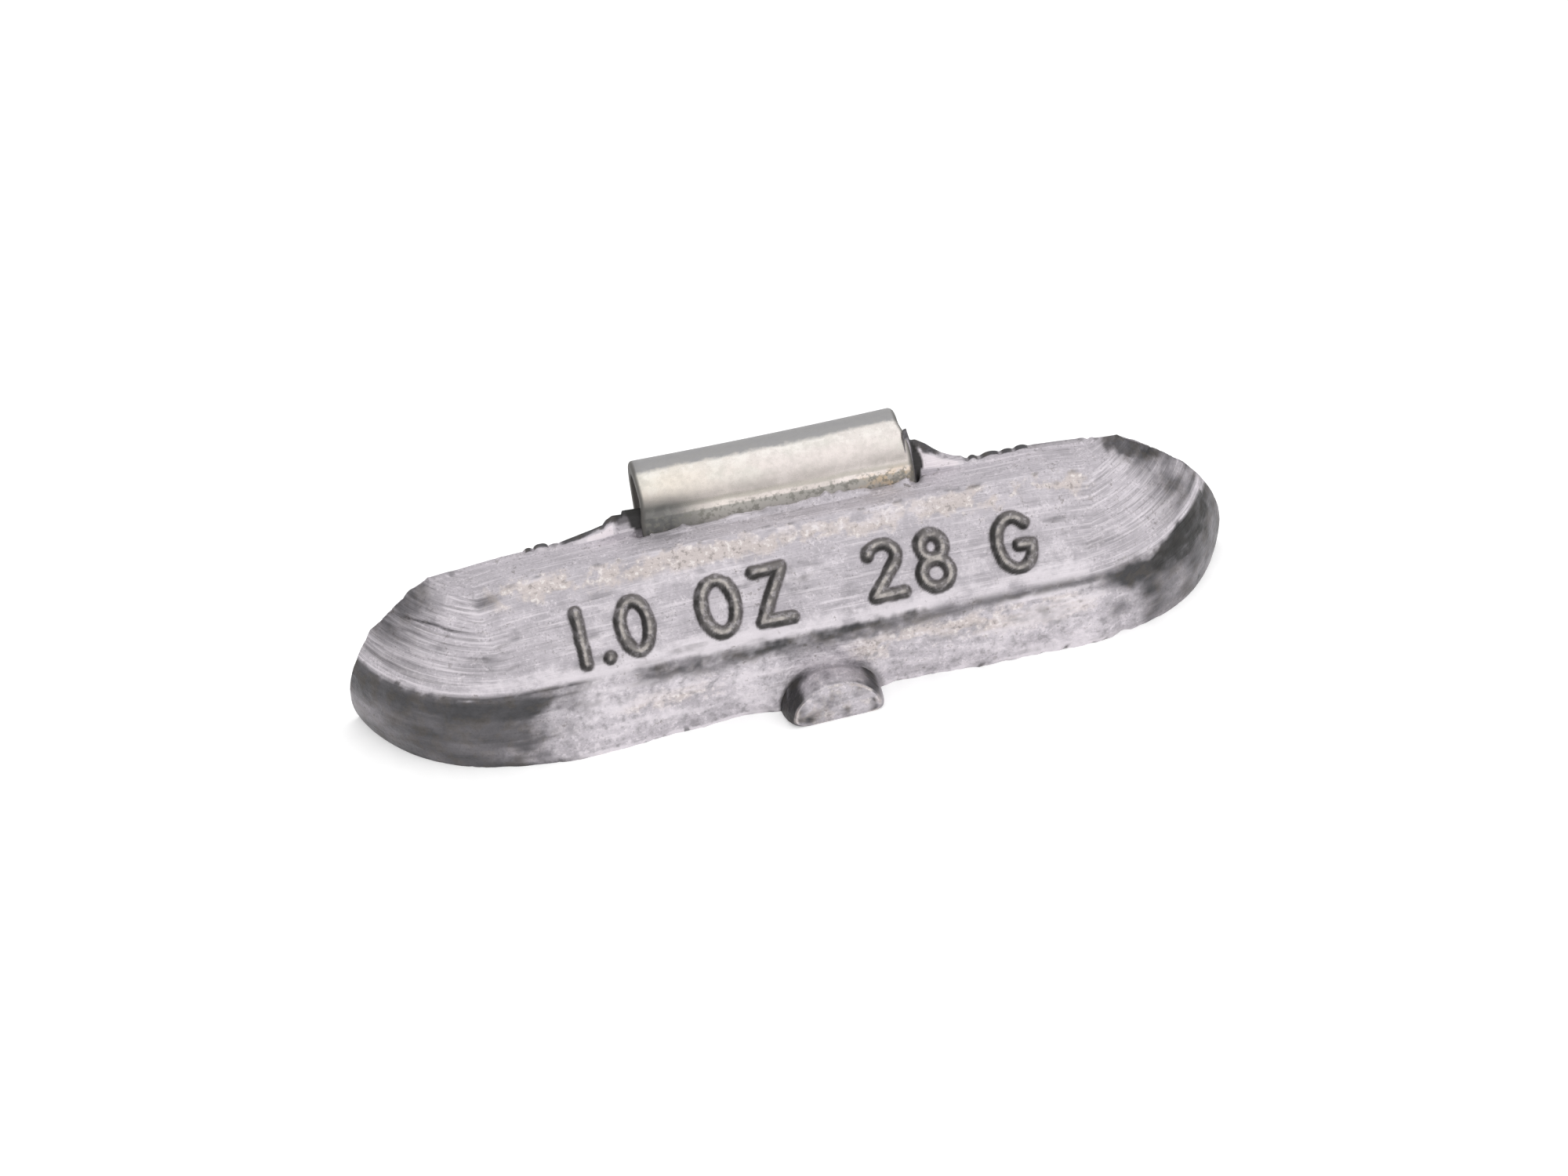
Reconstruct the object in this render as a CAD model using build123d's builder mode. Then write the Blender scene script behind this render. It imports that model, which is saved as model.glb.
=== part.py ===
"""Clip-on wheel balance weight: a lead casting with a folded spring-steel clip cast into it.

Millimetres. +X runs along the rim, -Y faces out of the wheel and +Z points at the tyre.
The origin is the middle of the flat base, so the weight stands on Z = 0.
"""

import math
import os

from build123d import *

# Casting, seen from above
overall_length = 52.1
base_depth = 7.2
end_radius = 9.6
deck_setback = 5.45
deck_depth = 2.5

# Casting, seen from the end
body_height = 9.8
knuckle_height = 5.2
wall_draft = 2.7
end_belly = 0.6
end_crown = 0.65
loft_levels = 4
seat_hollow = 0.6
knuckle_radius = 0.9
deck_edge_radius = 0.6

# Gate stub, half round, where the lead ran into the mould
gate_radius = 2.75
gate_stub = 1.85
gate_offset = 1.1

# Spring clip, folded from strip
strip_thickness = 0.8
strip_width = 15.8
strip_offset = 0.3
leg_length = 6.5
neck_length = 1.0
hook_inside_radius = 1.55
hook_turn = 180.0
tail_length = 3.2
lip_radius = 2.0
lip_turn = 35.0
tail_corner_radius = 1.0

# Round holes in the clip's leg, which the lead fills
anchor_hole = 3.0
anchor_spacing = 8.0

# Flash webs, where lead crept up beside the clip
left_web_length = 5.0
left_web_height = 1.5
right_web_length = 3.0
right_web_height = 2.5
web_thickness = 0.45
web_gap = 0.12

# Places worked out from the sizes above
rim_side = base_depth / 2
knuckle_inset = knuckle_height * math.tan(math.radians(wall_draft))
knuckle_depth = base_depth - knuckle_inset
knuckle_end_radius = end_radius - knuckle_inset
seat_radius = (body_height**2 / 4 + seat_hollow**2) / (2 * seat_hollow)
seat_axis_y = rim_side - seat_hollow + seat_radius
seat_axis_z = body_height / 2
belly_height = knuckle_height / 2
belly_depth = base_depth - knuckle_inset / 2
belly_radius = end_radius - knuckle_inset / 2
belly_seat_y = seat_axis_y - math.sqrt(seat_radius**2 - (belly_height - seat_axis_z) ** 2)
belly_reach = math.sqrt(belly_radius**2 - (rim_side - belly_depth + belly_radius - belly_seat_y) ** 2)
base_arc_middle = overall_length / 2 - belly_reach - end_belly
deck_length = overall_length - 2 * deck_setback
deck_arc_middle = deck_length / 2 - deck_depth
neck_lean = math.degrees(math.asin(seat_axis_z / seat_radius))


def plan_outline(arc_middle, depth, radius):
    """Outline seen from above: straight front, straight rim side and an arc round each end."""
    arc_y = rim_side - depth + radius
    sweep = math.degrees(math.acos((radius - depth) / radius))
    right = CenterArc((arc_middle, arc_y), radius, -90, sweep)
    left = CenterArc((-arc_middle, arc_y), radius, -90, -sweep)
    Line(right @ 0, left @ 0)
    Line(right @ 1, left @ 1)


def between(low, high, share):
    return low + share * (high - low)


def swell(fullness, share):
    """Fullness of an end at a share of a face's height: none at its edges, most halfway."""
    return fullness * 4 * share * (1 - share)


def wall_outline(share):
    """Outline at a share of the wall's height, from the base to the knuckle."""
    plan_outline(
        base_arc_middle + swell(end_belly, share),
        between(base_depth, knuckle_depth, share),
        between(end_radius, knuckle_end_radius, share),
    )


def face_outline(share):
    """Outline at a share of the slanted face's height, from the knuckle to the deck."""
    plan_outline(
        between(base_arc_middle, deck_arc_middle, share) + swell(end_crown, share),
        between(knuckle_depth, deck_depth, share),
        between(knuckle_end_radius, deck_depth, share),
    )


def strip_line():
    """Rim-side line of the clip, from the foot of the leg round the hook to the lip."""
    foot_rise = body_height - leg_length - seat_axis_z
    foot_angle = 180 - math.degrees(math.asin(foot_rise / seat_radius))
    deck_angle = 180 - neck_lean
    leg = CenterArc((seat_axis_y, seat_axis_z), seat_radius, foot_angle, deck_angle - foot_angle)
    neck = PolarLine(leg @ 1, neck_length, direction=leg % 1)
    hook = JernArc(neck @ 1, neck % 1, hook_inside_radius, -hook_turn)
    tail = PolarLine(hook @ 1, tail_length, direction=hook % 1)
    JernArc(tail @ 1, tail % 1, lip_radius, lip_turn)


def web_outline(side, length, height):
    """Web beside the clip: high against the strip, running out along the deck's rim edge."""
    inner = side * (strip_width / 2 + web_gap)
    outer = inner + side * length
    Polyline((inner, -web_thickness), (outer, -web_thickness), (outer, 0), (inner, height), close=True)


# Spring clip: one bent strip, extruded across its width
with BuildPart() as spring_clip:
    with BuildSketch(Plane.YZ.offset(strip_offset)):
        with BuildLine():
            strip_line()
            offset(amount=strip_thickness, side=Side.LEFT)
        make_face()
    extrude(amount=strip_width / 2, both=True)

    strip_ends = spring_clip.edges().filter_by(Axis.X, reverse=True).filter_by(GeomType.LINE)
    tail_corners = strip_ends.filter_by(lambda edge: abs(edge.length - strip_thickness) < 1e-4)
    fillet(tail_corners.sort_by(Axis.Y)[-2:], radius=tail_corner_radius)

    with Locations((strip_offset, rim_side - seat_hollow, body_height - leg_length / 2)):
        with GridLocations(anchor_spacing, 1, 2, 1):
            Cylinder(anchor_hole / 2, 2 * hook_inside_radius, rotation=(90, 0, 0), mode=Mode.SUBTRACT)

# Lead casting: outlines lofted into the wall and the slanted face that carries the figures.
# Between their edges both are fuller round the ends, and the front stays flat.
web_lean = math.radians(neck_lean)
web_plane = Plane(
    origin=(strip_offset, rim_side, body_height),
    x_dir=(1, 0, 0),
    z_dir=(0, -math.cos(web_lean), math.sin(web_lean)),
)

with BuildPart() as lead_body:
    for level in range(loft_levels):
        with BuildSketch(Plane.XY.offset(between(0, knuckle_height, level / loft_levels))):
            with BuildLine():
                wall_outline(level / loft_levels)
            make_face()
    for level in range(loft_levels + 1):
        with BuildSketch(Plane.XY.offset(between(knuckle_height, body_height, level / loft_levels))):
            with BuildLine():
                face_outline(level / loft_levels)
            make_face()
    loft(ruled=True)

    knuckle = lead_body.edges().filter_by_position(Axis.Z, knuckle_height, knuckle_height)
    fillet(knuckle.sort_by(Axis.Y)[:3], radius=knuckle_radius)
    deck_edge = lead_body.faces().sort_by(Axis.Z)[-1].edges()
    fillet(deck_edge.sort_by(Axis.Y)[:3], radius=deck_edge_radius)

    # Gate stub: half round, flat side down in the plane of the base
    with BuildSketch(Plane.XZ.offset(-rim_side)):
        with Locations((gate_offset, 0)):
            Circle(gate_radius)
            Rectangle(2 * gate_radius, gate_radius, align=(Align.CENTER, Align.MAX), mode=Mode.SUBTRACT)
    extrude(amount=base_depth + gate_stub)

    # Rim seat: a hollow along the whole rim side
    with BuildSketch(Plane.YZ):
        with Locations((seat_axis_y, seat_axis_z)):
            Circle(seat_radius)
    extrude(amount=overall_length, both=True, mode=Mode.SUBTRACT)

    # Flash webs on both sides of the clip's neck
    with BuildSketch(web_plane):
        with BuildLine():
            web_outline(-1, left_web_length, left_web_height)
        make_face()
        with BuildLine():
            web_outline(1, right_web_length, right_web_height)
        make_face()
    extrude(amount=web_thickness)

    # The lead closes round the clip's leg and fills its holes
    add(spring_clip.part, mode=Mode.SUBTRACT)

lead_body.part.label = "lead_body"
spring_clip.part.label = "spring_clip"

os.makedirs("parts", exist_ok=True)
export_step(lead_body.part, "parts/lead_body.step")
export_step(spring_clip.part, "parts/spring_clip.step")
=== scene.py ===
# %% [markdown]
# # A clip-on wheel balance weight
# The weight is a small bar of lead, cast round the leg of a folded steel clip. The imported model
# holds both solids at their real size. This lesson keeps that frame and makes the two skins that a
# close photograph needs: a cast one with raised figures, flash and grime, and a plated one with
# rolled edges and a satin sheen.

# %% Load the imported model
import math

import bpy
import numpy as np
from mathutils import Matrix, Vector


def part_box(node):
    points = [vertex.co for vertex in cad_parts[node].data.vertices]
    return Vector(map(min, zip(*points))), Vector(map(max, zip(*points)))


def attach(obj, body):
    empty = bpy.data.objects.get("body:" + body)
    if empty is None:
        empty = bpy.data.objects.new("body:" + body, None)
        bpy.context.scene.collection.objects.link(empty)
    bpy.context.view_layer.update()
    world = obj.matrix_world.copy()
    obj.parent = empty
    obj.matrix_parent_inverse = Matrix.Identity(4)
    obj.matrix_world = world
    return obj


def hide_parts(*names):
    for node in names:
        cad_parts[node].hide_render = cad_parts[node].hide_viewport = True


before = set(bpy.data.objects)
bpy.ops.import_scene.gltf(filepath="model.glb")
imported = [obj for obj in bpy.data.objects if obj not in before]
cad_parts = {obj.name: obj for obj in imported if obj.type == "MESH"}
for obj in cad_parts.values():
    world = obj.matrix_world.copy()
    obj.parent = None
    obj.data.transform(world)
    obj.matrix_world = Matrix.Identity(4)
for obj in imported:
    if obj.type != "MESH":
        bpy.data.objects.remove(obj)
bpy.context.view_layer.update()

MM = 0.001
print("packed nodes:", ", ".join(sorted(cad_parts)))

# %% [markdown]
# ## The form of the casting
# Three outlines, seen from above, give the lead its form: the base, the knuckle where the front wall
# ends, and the deck. Straight lines join them along the front, and round the ends they swell a little.
# The skin follows the same rule, so it lies on the solid, but it is a grid of points fine enough to
# carry figures and tool marks. Millimetres are used until a mesh is made.

# %% Sizes of the casting
lead_low, lead_high = (np.array(corner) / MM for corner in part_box("lead_body"))
clip_low, clip_high = (np.array(corner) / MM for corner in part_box("spring_clip"))
half_length = lead_high[0]
base_depth = 7.2
rim_side = base_depth / 2
end_radius = 9.6
deck_setback = 5.45
deck_depth = 2.5
body_height = 9.8
knuckle_height = 5.2
wall_draft = math.tan(math.radians(2.7))
knuckle_inset = knuckle_height * wall_draft
end_belly = 0.6
end_crown = 0.65
seat_hollow = 0.6
gate_middle = 1.1
gate_radius = 2.75
strip_half_width = (clip_high[0] - clip_low[0]) / 2
strip_middle = (clip_high[0] + clip_low[0]) / 2
strip_thickness = 0.8

seat_radius = (body_height**2 / 4 + seat_hollow**2) / (2 * seat_hollow)
seat_axis_y = rim_side - seat_hollow + seat_radius
seat_axis_z = body_height / 2
seat_lean = math.asin(seat_axis_z / seat_radius)


def seat_y(z):
    """Rim side of the lead at height z: a shallow hollow."""
    return seat_axis_y - np.sqrt(seat_radius**2 - (z - seat_axis_z) ** 2)


belly_radius = end_radius - knuckle_inset / 2
belly_corner = rim_side - base_depth + end_radius - seat_y(knuckle_height / 2)
base_arc_middle = half_length - end_belly - math.sqrt(belly_radius**2 - belly_corner**2)
deck_arc_middle = half_length - deck_setback - deck_depth
print(f"casting {2 * half_length:.1f} mm long, clip {2 * strip_half_width:.1f} mm wide")

# %% [markdown]
# A few small tools are shared by every step below: soft steps, humps and windows, a seeded noise that
# gives the same bumps on each run, and places that crowd together where the shape needs more points.

# %% Steps, noise and graded places
def fade(value, low, high):
    """A soft step from 0 at low to 1 at high."""
    t = np.clip((value - low) / (high - low), 0, 1)
    return t * t * (3 - 2 * t)


def window(value, rise_low, rise_high, fall_low, fall_high):
    """A soft step up, and a soft step down again."""
    return fade(value, rise_low, rise_high) * (1 - fade(value, fall_low, fall_high))


def bell(value, reach):
    """A soft hump that is 1 at 0."""
    return np.exp(-((value / reach) ** 2))


def between(low, high, share):
    return low + share * (high - low)


def bumps(u, v, seed):
    """Smooth noise from -1 to 1, with about one bump in each unit square."""
    size = 128
    table = np.random.default_rng(seed).uniform(-1, 1, (size, size))
    column, row = np.floor(u).astype(int), np.floor(v).astype(int)
    fu, fv = fade(u - column, 0, 1), fade(v - row, 0, 1)

    def level(row):
        left, right = table[column % size, row % size], table[(column + 1) % size, row % size]
        return left * (1 - fu) + right * fu

    return level(row) * (1 - fv) + level(row + 1) * fv


def rough(u, v, seed, layers=4):
    """Layers of the noise, each twice as fine and half as strong as the one before."""
    total = sum(bumps(u * 2**k, v * 2**k, seed + k) / 2**k for k in range(layers))
    return total / 1.5


def graded(low, high, spacing):
    """Places from low to high, each spacing(place) from the next."""
    samples = 4001
    fine = np.linspace(low, high, samples)
    count = np.cumsum(1 / spacing(fine)) * (fine[1] - fine[0])
    count -= count[0]
    steps = max(2, round(count[-1]))
    return np.interp(np.linspace(0, count[-1], steps + 1), count, fine)


# %% [markdown]
# ## Columns and rows of the grid
# A column runs up the skin from the base to the rim edge of the deck. Columns lie close together
# along the straight front, closest beside the clip, and further apart round the ends. Rows lie close
# together where the figures stand.

# %% Columns along the outline
arc_columns = 62


def front_spacing(x):
    wide_step, finer_by, finest_out = 0.094, 0.045, 0.4
    beside_clip = np.abs(x - strip_middle) - strip_half_width - finest_out
    return wide_step - finer_by * bell(beside_clip, 0.6)


front = graded(-base_arc_middle, base_arc_middle, front_spacing) / base_arc_middle
turn = np.linspace(0, 1, arc_columns + 1)[1:]
along = np.concatenate([-np.ones(arc_columns), front, np.ones(arc_columns)])
bend = np.concatenate([-turn[::-1], np.zeros(len(front)), turn])
print(f"{len(along)} columns, {len(front)} of them along the front")

# %% Outlines of the casting
def plan_outline(arc_middle, depth, radius, height):
    """One level of the casting: left end arc, straight front and right end arc, up to the rim seat."""
    to_seat = depth - (rim_side - seat_y(height))
    sweep = np.arccos((radius - to_seat) / radius)
    x = along * arc_middle + radius * np.sin(bend * sweep)
    y = rim_side - depth + radius * (1 - np.cos(bend * sweep))
    return np.stack([x, y, np.broadcast_to(height, x.shape)], axis=1)


right_belly_share = 0.95
right_crown_share = 0.85


def swell(fullness, right_share, share):
    """Fullness of the ends at a share of a face's height: none at its edges, most halfway."""
    side = np.where(bend > 0, right_share, 1.0)
    return side * fullness * 4 * share * (1 - share)


def wall_level(share):
    """Outline at a share of the wall's height, from the base to the knuckle."""
    arc_middle = base_arc_middle + swell(end_belly, right_belly_share, share)
    inset = share * knuckle_inset
    return plan_outline(arc_middle, base_depth - inset, end_radius - inset, share * knuckle_height)


def face_level(share):
    """Outline at a share of the slanted face's height, from the knuckle to the deck."""
    arc_middle = between(base_arc_middle, deck_arc_middle, share)
    arc_middle = arc_middle + swell(end_crown, right_crown_share, share)
    depth = between(base_depth - knuckle_inset, deck_depth, share)
    radius = between(end_radius - knuckle_inset, deck_depth, share)
    return plan_outline(arc_middle, depth, radius, between(knuckle_height, body_height, share))


knuckle_line = wall_level(1.0)
deck_line = face_level(1.0)
print(f"deck {deck_line[-1, 0] - deck_line[0, 0]:.1f} mm long")

# %% [markdown]
# The flash along the rim edge of the deck is lead that crept into the joint of the mould. It is low
# and scalloped along the deck, and stands up as a web on both sides of the clip. A short list of
# scallops and two web outlines describe it, and the deck's last rows climb over it.

# %% Flash along the rim edge
scallops = [
    (-14.55, 0.28, 0.20), (-13.80, 0.48, 0.32), (-13.00, 0.40, 0.14), (11.95, 0.30, 0.30),
    (13.00, 0.62, 0.28), (14.00, 0.42, 0.22), (14.85, 0.46, 0.27), (15.70, 0.40, 0.14),
    (17.00, 0.95, 0.10), (18.38, 0.38, 0.14), (19.06, 0.18, 0.10),
]
left_web = [(-12.9, 0.0), (-12.6, 0.14), (-10.6, 0.52), (-10.0, 0.66), (-9.85, 0.88), (-9.4, 1.12),
            (-8.85, 1.08), (-8.78, 1.30), (-7.6, 1.24), (-7.4, 0.0)]
right_web = [(8.0, 0.0), (8.05, 2.62), (8.14, 2.72), (8.42, 2.76), (8.47, 2.40), (8.50, 1.94), (8.56, 1.98),
             (8.83, 1.96), (9.37, 1.58), (9.79, 1.19), (10.22, 0.84), (10.9, 0.48), (11.35, 0.36),
             (11.6, 0.14), (18.2, 0.12), (18.9, 0.0)]
burr_height = 0.03
web_thickness = 0.42


def flash_height(x):
    height = np.full_like(x, burr_height)
    for middle, reach, rise in scallops:
        lump = np.sqrt(np.clip(1 - ((x - middle) / reach) ** 2, 0, 1))
        height = np.maximum(height, rise * lump)
    for web in (left_web, right_web):
        places, rises = zip(*web)
        height = np.maximum(height, np.interp(x, places, rises, left=0, right=0))
    return height


def clip_window(x, margin=0.0):
    """1 where the clip's strip covers the rim edge, with soft sides."""
    outside = np.abs(x - strip_middle) - strip_half_width - margin
    return 1 - fade(outside, -0.12, 0.0)


print(f"{len(scallops)} scallops, and the higher web is {max(h for _, h in right_web):.2f} mm high")

# %% [markdown]
# Each column is a short profile: wall, rounded knuckle, slanted face, rounded deck edge, deck and
# flash. A quadratic curve rounds each corner. Where the deck runs out at its ends, the rounding
# shrinks with it.

# %% Straight and rounded rows
def unit(vectors):
    return vectors / np.maximum(np.linalg.norm(vectors, axis=-1, keepdims=True), 1e-9)


def straight_rows(start, end, places):
    return between(start, end, np.asarray(places)[:, None, None])


def rounded_rows(start, corner, end, steps):
    t = np.linspace(0, 1, steps + 2)[1:-1, None, None]
    return (1 - t) ** 2 * start + 2 * t * (1 - t) * corner + t**2 * end


# %% Corners of the profile
knuckle_reach = 0.42 + 0.50 * fade(np.abs(bend), 0.25, 0.9)
deck_edge_reach = 0.34
face_length = np.linalg.norm(deck_line - knuckle_line, axis=1)
strip_bury = 0.4
flash_rows = 10
corner_rows = 5

x = deck_line[:, 0]
edge_y = rim_side - strip_bury * clip_window(x)
rim_edge = np.stack([x, edge_y, np.full_like(x, body_height)], axis=1)
deck_room = np.linalg.norm(rim_edge - deck_line, axis=1, keepdims=True)
flash_foot = rim_edge - np.minimum(web_thickness, 0.4 * deck_room) * np.array([0, 1, 0])

wall_end = 1 - knuckle_reach / knuckle_height
face_low = knuckle_reach / face_length
edge_reach = np.minimum(deck_edge_reach, 0.45 * deck_room)
face_high = 1 - edge_reach[:, 0] / face_length
deck_back = deck_line + edge_reach * np.array([0, 1, 0])
print(f"deck up to {deck_room.max():.2f} mm deep")

# %% Places up the profile
wall_run, face_run, deck_run = 5.0, 5.7, 1.8


def closing_up(run):
    """Places up a run of so many millimetres, closer together towards its top."""
    return graded(0, 1, lambda share: (0.16 - 0.07 * share) / run)


wall_places, deck_places = closing_up(wall_run), closing_up(deck_run)
face_places = graded(0, 1, lambda share: (0.088 + 0.06 * fade(share, 0.72, 0.85)) / face_run)
print(f"{len(wall_places)} rows up the wall, {len(face_places)} up the slanted face")

# %% Stack the rows
rise = flash_height(x)[:, None]
lean = np.array([0, math.tan(seat_lean), 1])
web_front = flash_foot + rise * lean + 0.3 * (rim_edge - flash_foot)
web_back = rim_edge + rise * lean
web_crest = (web_front + web_back) / 2 + 0.12 * np.minimum(rise, 0.5) * np.array([0, 0, 1])

wall_rows = np.stack([wall_level(place * wall_end) for place in wall_places])
face_rows = np.stack([face_level(between(face_low, face_high, place)) for place in face_places])
skin = np.concatenate([
    wall_rows,
    rounded_rows(wall_rows[-1], knuckle_line, face_rows[0], corner_rows),
    face_rows,
    rounded_rows(face_rows[-1], deck_line, deck_back, corner_rows),
    straight_rows(deck_back, flash_foot, deck_places),
    straight_rows(flash_foot, web_front, np.linspace(0, 1, flash_rows)[1:]),
    web_crest[None],
    web_back[None],
])
knuckle_row = len(wall_places) + corner_rows // 2
face_start = len(wall_places) + corner_rows
face_end = face_start + len(face_places)
deck_row = face_end + corner_rows // 2
flash_start = face_end + corner_rows + len(deck_places)
rows, columns = skin.shape[:2]
skin_x, skin_y, skin_z = np.moveaxis(skin, -1, 0)
print(f"{rows} rows, {rows * columns} points on the skin")

# %% [markdown]
# Two coordinates in millimetres belong to the skin itself: how far a point lies along the bar, and
# how far up the profile from the base. Tool marks, figures and grime are all placed by them.

# %% Skin coordinates
def running_length(points, axis):
    steps = np.linalg.norm(np.diff(points, axis=axis), axis=-1)
    zero = np.zeros_like(np.take(steps, [0], axis=axis))
    return np.concatenate([zero, np.cumsum(steps, axis=axis)], axis=axis)


length_along = running_length(knuckle_line[None], 1)[0]
skin_u = np.broadcast_to(length_along - length_along[-1] / 2, (rows, columns))
skin_v = running_length(skin, 0)


def skin_rough(along, up, seed, layers=4):
    """Noise on the skin, with so many bumps to the millimetre along the bar and up the profile."""
    return rough(skin_u * along, skin_v * up, seed, layers)


above_knuckle = skin_v - skin_v[knuckle_row]
face_width = skin_v[deck_row] - skin_v[knuckle_row]
face_share = np.clip(above_knuckle / face_width, -1, 2)
end_share = np.abs(np.broadcast_to(bend, (rows, columns)))
row_number = np.arange(rows)[:, None]
in_wall = row_number < face_start
in_face = (row_number >= knuckle_row) & (row_number <= deck_row)
in_deck = row_number > deck_row
print(f"slanted face {face_width[columns // 2]:.2f} mm wide")

# %% [markdown]
# ## Large unevenness of the casting
# The mould was worn: the deck sags towards both ends, and the foot of the wall bows forward on the left
# and is short of lead on the right. These moves come first, so that the finer marks sit on the true
# surface.

# %% Sag of the deck and bow of the foot
deck_sag = 0.5
foot_bow = [(-18.6, 0.0), (-16.7, -0.21), (-14.8, -0.49), (-13.9, -0.60), (-13.0, -0.54), (-11.1, -0.40),
            (-9.2, -0.15), (-8.3, -0.01), (-6.4, 0.0), (-5.5, 0.17), (-4.5, 0.26), (-3.6, 0.23), (-2.5, 0.1),
            (-1.6, 0.0), (3.9, 0.25), (4.7, 0.50), (5.6, 0.58), (6.7, 0.55), (8.6, 0.38), (12.3, 0.32),
            (13.3, 0.36), (15.1, 0.30), (17.0, 0.22), (18.0, 0.30), (18.8, 0.62), (19.2, 0.34), (19.8, 0.36),
            (21.5, 0.14), (23.5, 0.0)]


def surface_normals(points):
    across = np.gradient(points, axis=1)
    up = np.gradient(points, axis=0)
    return unit(np.cross(across, up))


sag_share = fade(np.abs(skin_x), 14.5, 22.0) * np.clip(face_share, 0, 1) ** 1.5
skin_z -= deck_sag * sag_share
foot_share = in_wall * (1 - np.clip(skin_z / knuckle_height, 0, 1))
bow_x, bow_y = zip(*foot_bow)
skin_y += foot_share**1.3 * np.interp(skin_x, bow_x, bow_y)
print(f"deck sags by up to {deck_sag * sag_share.max():.2f} mm")

# %% [markdown]
# ## Raised figures
# Such weights carry their mass in raised figures, cut by hand into the mould as round-bottomed grooves.
# Text objects would give printed letters with flat tops, so each figure is a few strokes, and every
# point of the slanted face rises by its distance from the nearest stroke. Only plain values are
# shown: ounces on the left and grams on the right.

# %% Strokes of the figures
figure_height = 3.3
stroke_half = 0.41
stroke_rise = 0.38
far_away = 9.0


def bow(middle_x, middle_y, radius_x, radius_y, start, end, points=22):
    """Part of an ellipse, from one angle to another in degrees."""
    angle = np.radians(np.linspace(start, end, points))
    return np.stack([middle_x + radius_x * np.cos(angle), middle_y + radius_y * np.sin(angle)], axis=1)


def path(*points):
    return np.array(points, float)


figures = {
    "1": [path((0.0, 0.02), (-0.02, 0.98))],
    ".": [path((0.0, 0.03), (0.02, 0.05))],
    "0": [bow(0, 0.5, 0.25, 0.46, 0, 360)],
    "2": [np.concatenate([bow(0, 0.74, 0.25, 0.23, 165, -35), path((-0.26, 0.05), (0.27, 0.06))])],
    "8": [bow(0.0, 0.74, 0.20, 0.22, 0, 360), bow(0.0, 0.26, 0.25, 0.25, 0, 360)],
    "O": [bow(0, 0.5, 0.30, 0.47, 0, 360)],
    "Z": [path((-0.26, 0.95), (0.25, 0.96), (-0.27, 0.05), (0.28, 0.04))],
    "G": [np.concatenate([bow(0, 0.5, 0.31, 0.47, 48, 330), path((0.29, 0.44), (0.06, 0.45))])],
}
figure_places = [("1", -12.7), (".", -11.3), ("0", -9.5), ("O", -4.5), ("Z", -1.3),
                 ("2", 5.4), ("8", 8.35), ("G", 13.2)]


def distance_to_path(u, v, points):
    """Distance of every place (u, v) from a line through the points."""
    nearest = np.full(u.shape, far_away)
    for (x0, y0), (x1, y1) in zip(points[:-1], points[1:]):
        dx, dy = x1 - x0, y1 - y0
        t = np.clip(((u - x0) * dx + (v - y0) * dy) / (dx * dx + dy * dy), 0, 1)
        nearest = np.minimum(nearest, np.hypot(u - x0 - t * dx, v - y0 - t * dy))
    return nearest


print(f"{len(figure_places)} figures, {figure_height} mm high")

# %% Raise the figures on the slanted face
def baseline(x):
    """Foot of the figures above the knuckle: the line of figures runs slightly uphill."""
    return 0.85 + 0.014 * (x + 13)


from_stroke = np.full((rows, columns), far_away)
for figure, place in figure_places:
    u = skin_x - place
    v = above_knuckle - baseline(place)
    near = in_face & (np.abs(u) < figure_height) & (end_share < 0.2)
    for stroke in figures[figure]:
        gap = distance_to_path(u[near], v[near], stroke * figure_height)
        from_stroke[near] = np.minimum(from_stroke[near], gap)
stroke_wobble = 1 + 0.17 * skin_rough(1.3, 1.3, 23)
from_stroke = from_stroke / stroke_wobble
figure_rise = stroke_rise * np.clip(1 - (from_stroke / stroke_half) ** 2, 0, 1) ** 0.75
print(f"{(figure_rise > 0.1).sum()} points stand on the figures")

# %% [markdown]
# ## Tool marks, flow lines and bites
# The cutter left fine lines round both ends of the mould. The lead froze early along the deck edge and
# left wrinkles there, and the base edge is ragged where it met the mould plate. All of it is shallow, a
# few tenths of a millimetre at most, but it catches the light.

# %% Tool marks round the ends
into_end = np.abs(skin_u) - base_arc_middle


def tool_mark(place, width, reach_low, reach_high):
    """A line at one share of the slanted face, arched over the end and fading out along the bar."""
    arch = 0.08 * (1 - ((end_share - 0.44) / 0.44) ** 2)
    wander = 0.012 * skin_rough(0.5, 0, 31)
    from_line = (face_share - place - arch - wander) * face_width
    return bell(from_line, width) * fade(into_end, reach_low, reach_high)


left_marks = [
    (0.90, 0.04, 0.08, 1.0, 6.0), (0.76, 0.05, 0.10, -1.0, 5.0), (0.60, 0.15, 0.10, -3.0, 5.0),
    (0.54, 0.05, 0.07, 0.0, 6.0), (0.47, 0.12, 0.09, 3.0, 10.0), (0.40, 0.05, 0.08, 1.5, 8.0),
    (0.32, 0.05, 0.07, 3.0, 9.0), (0.24, 0.07, 0.09, 3.5, 10.0), (0.12, 0.05, 0.08, 5.0, 10.0),
]
right_marks = [
    (0.90, 0.05, 0.08, 1.0, 6.0), (0.82, 0.07, 0.07, -1.0, 5.0), (0.70, 0.05, 0.06, 1.0, 6.0),
    (0.60, 0.03, 0.08, 1.0, 6.0), (0.45, 0.04, 0.06, 1.0, 6.0), (0.30, 0.03, 0.07, 2.0, 8.0),
    (0.12, 0.05, 0.06, 1.0, 6.0), (0.06, 0.05, 0.05, 1.0, 6.0),
]
on_left = np.broadcast_to(bend < 0, (rows, columns))
grooves = np.zeros((rows, columns))
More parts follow.
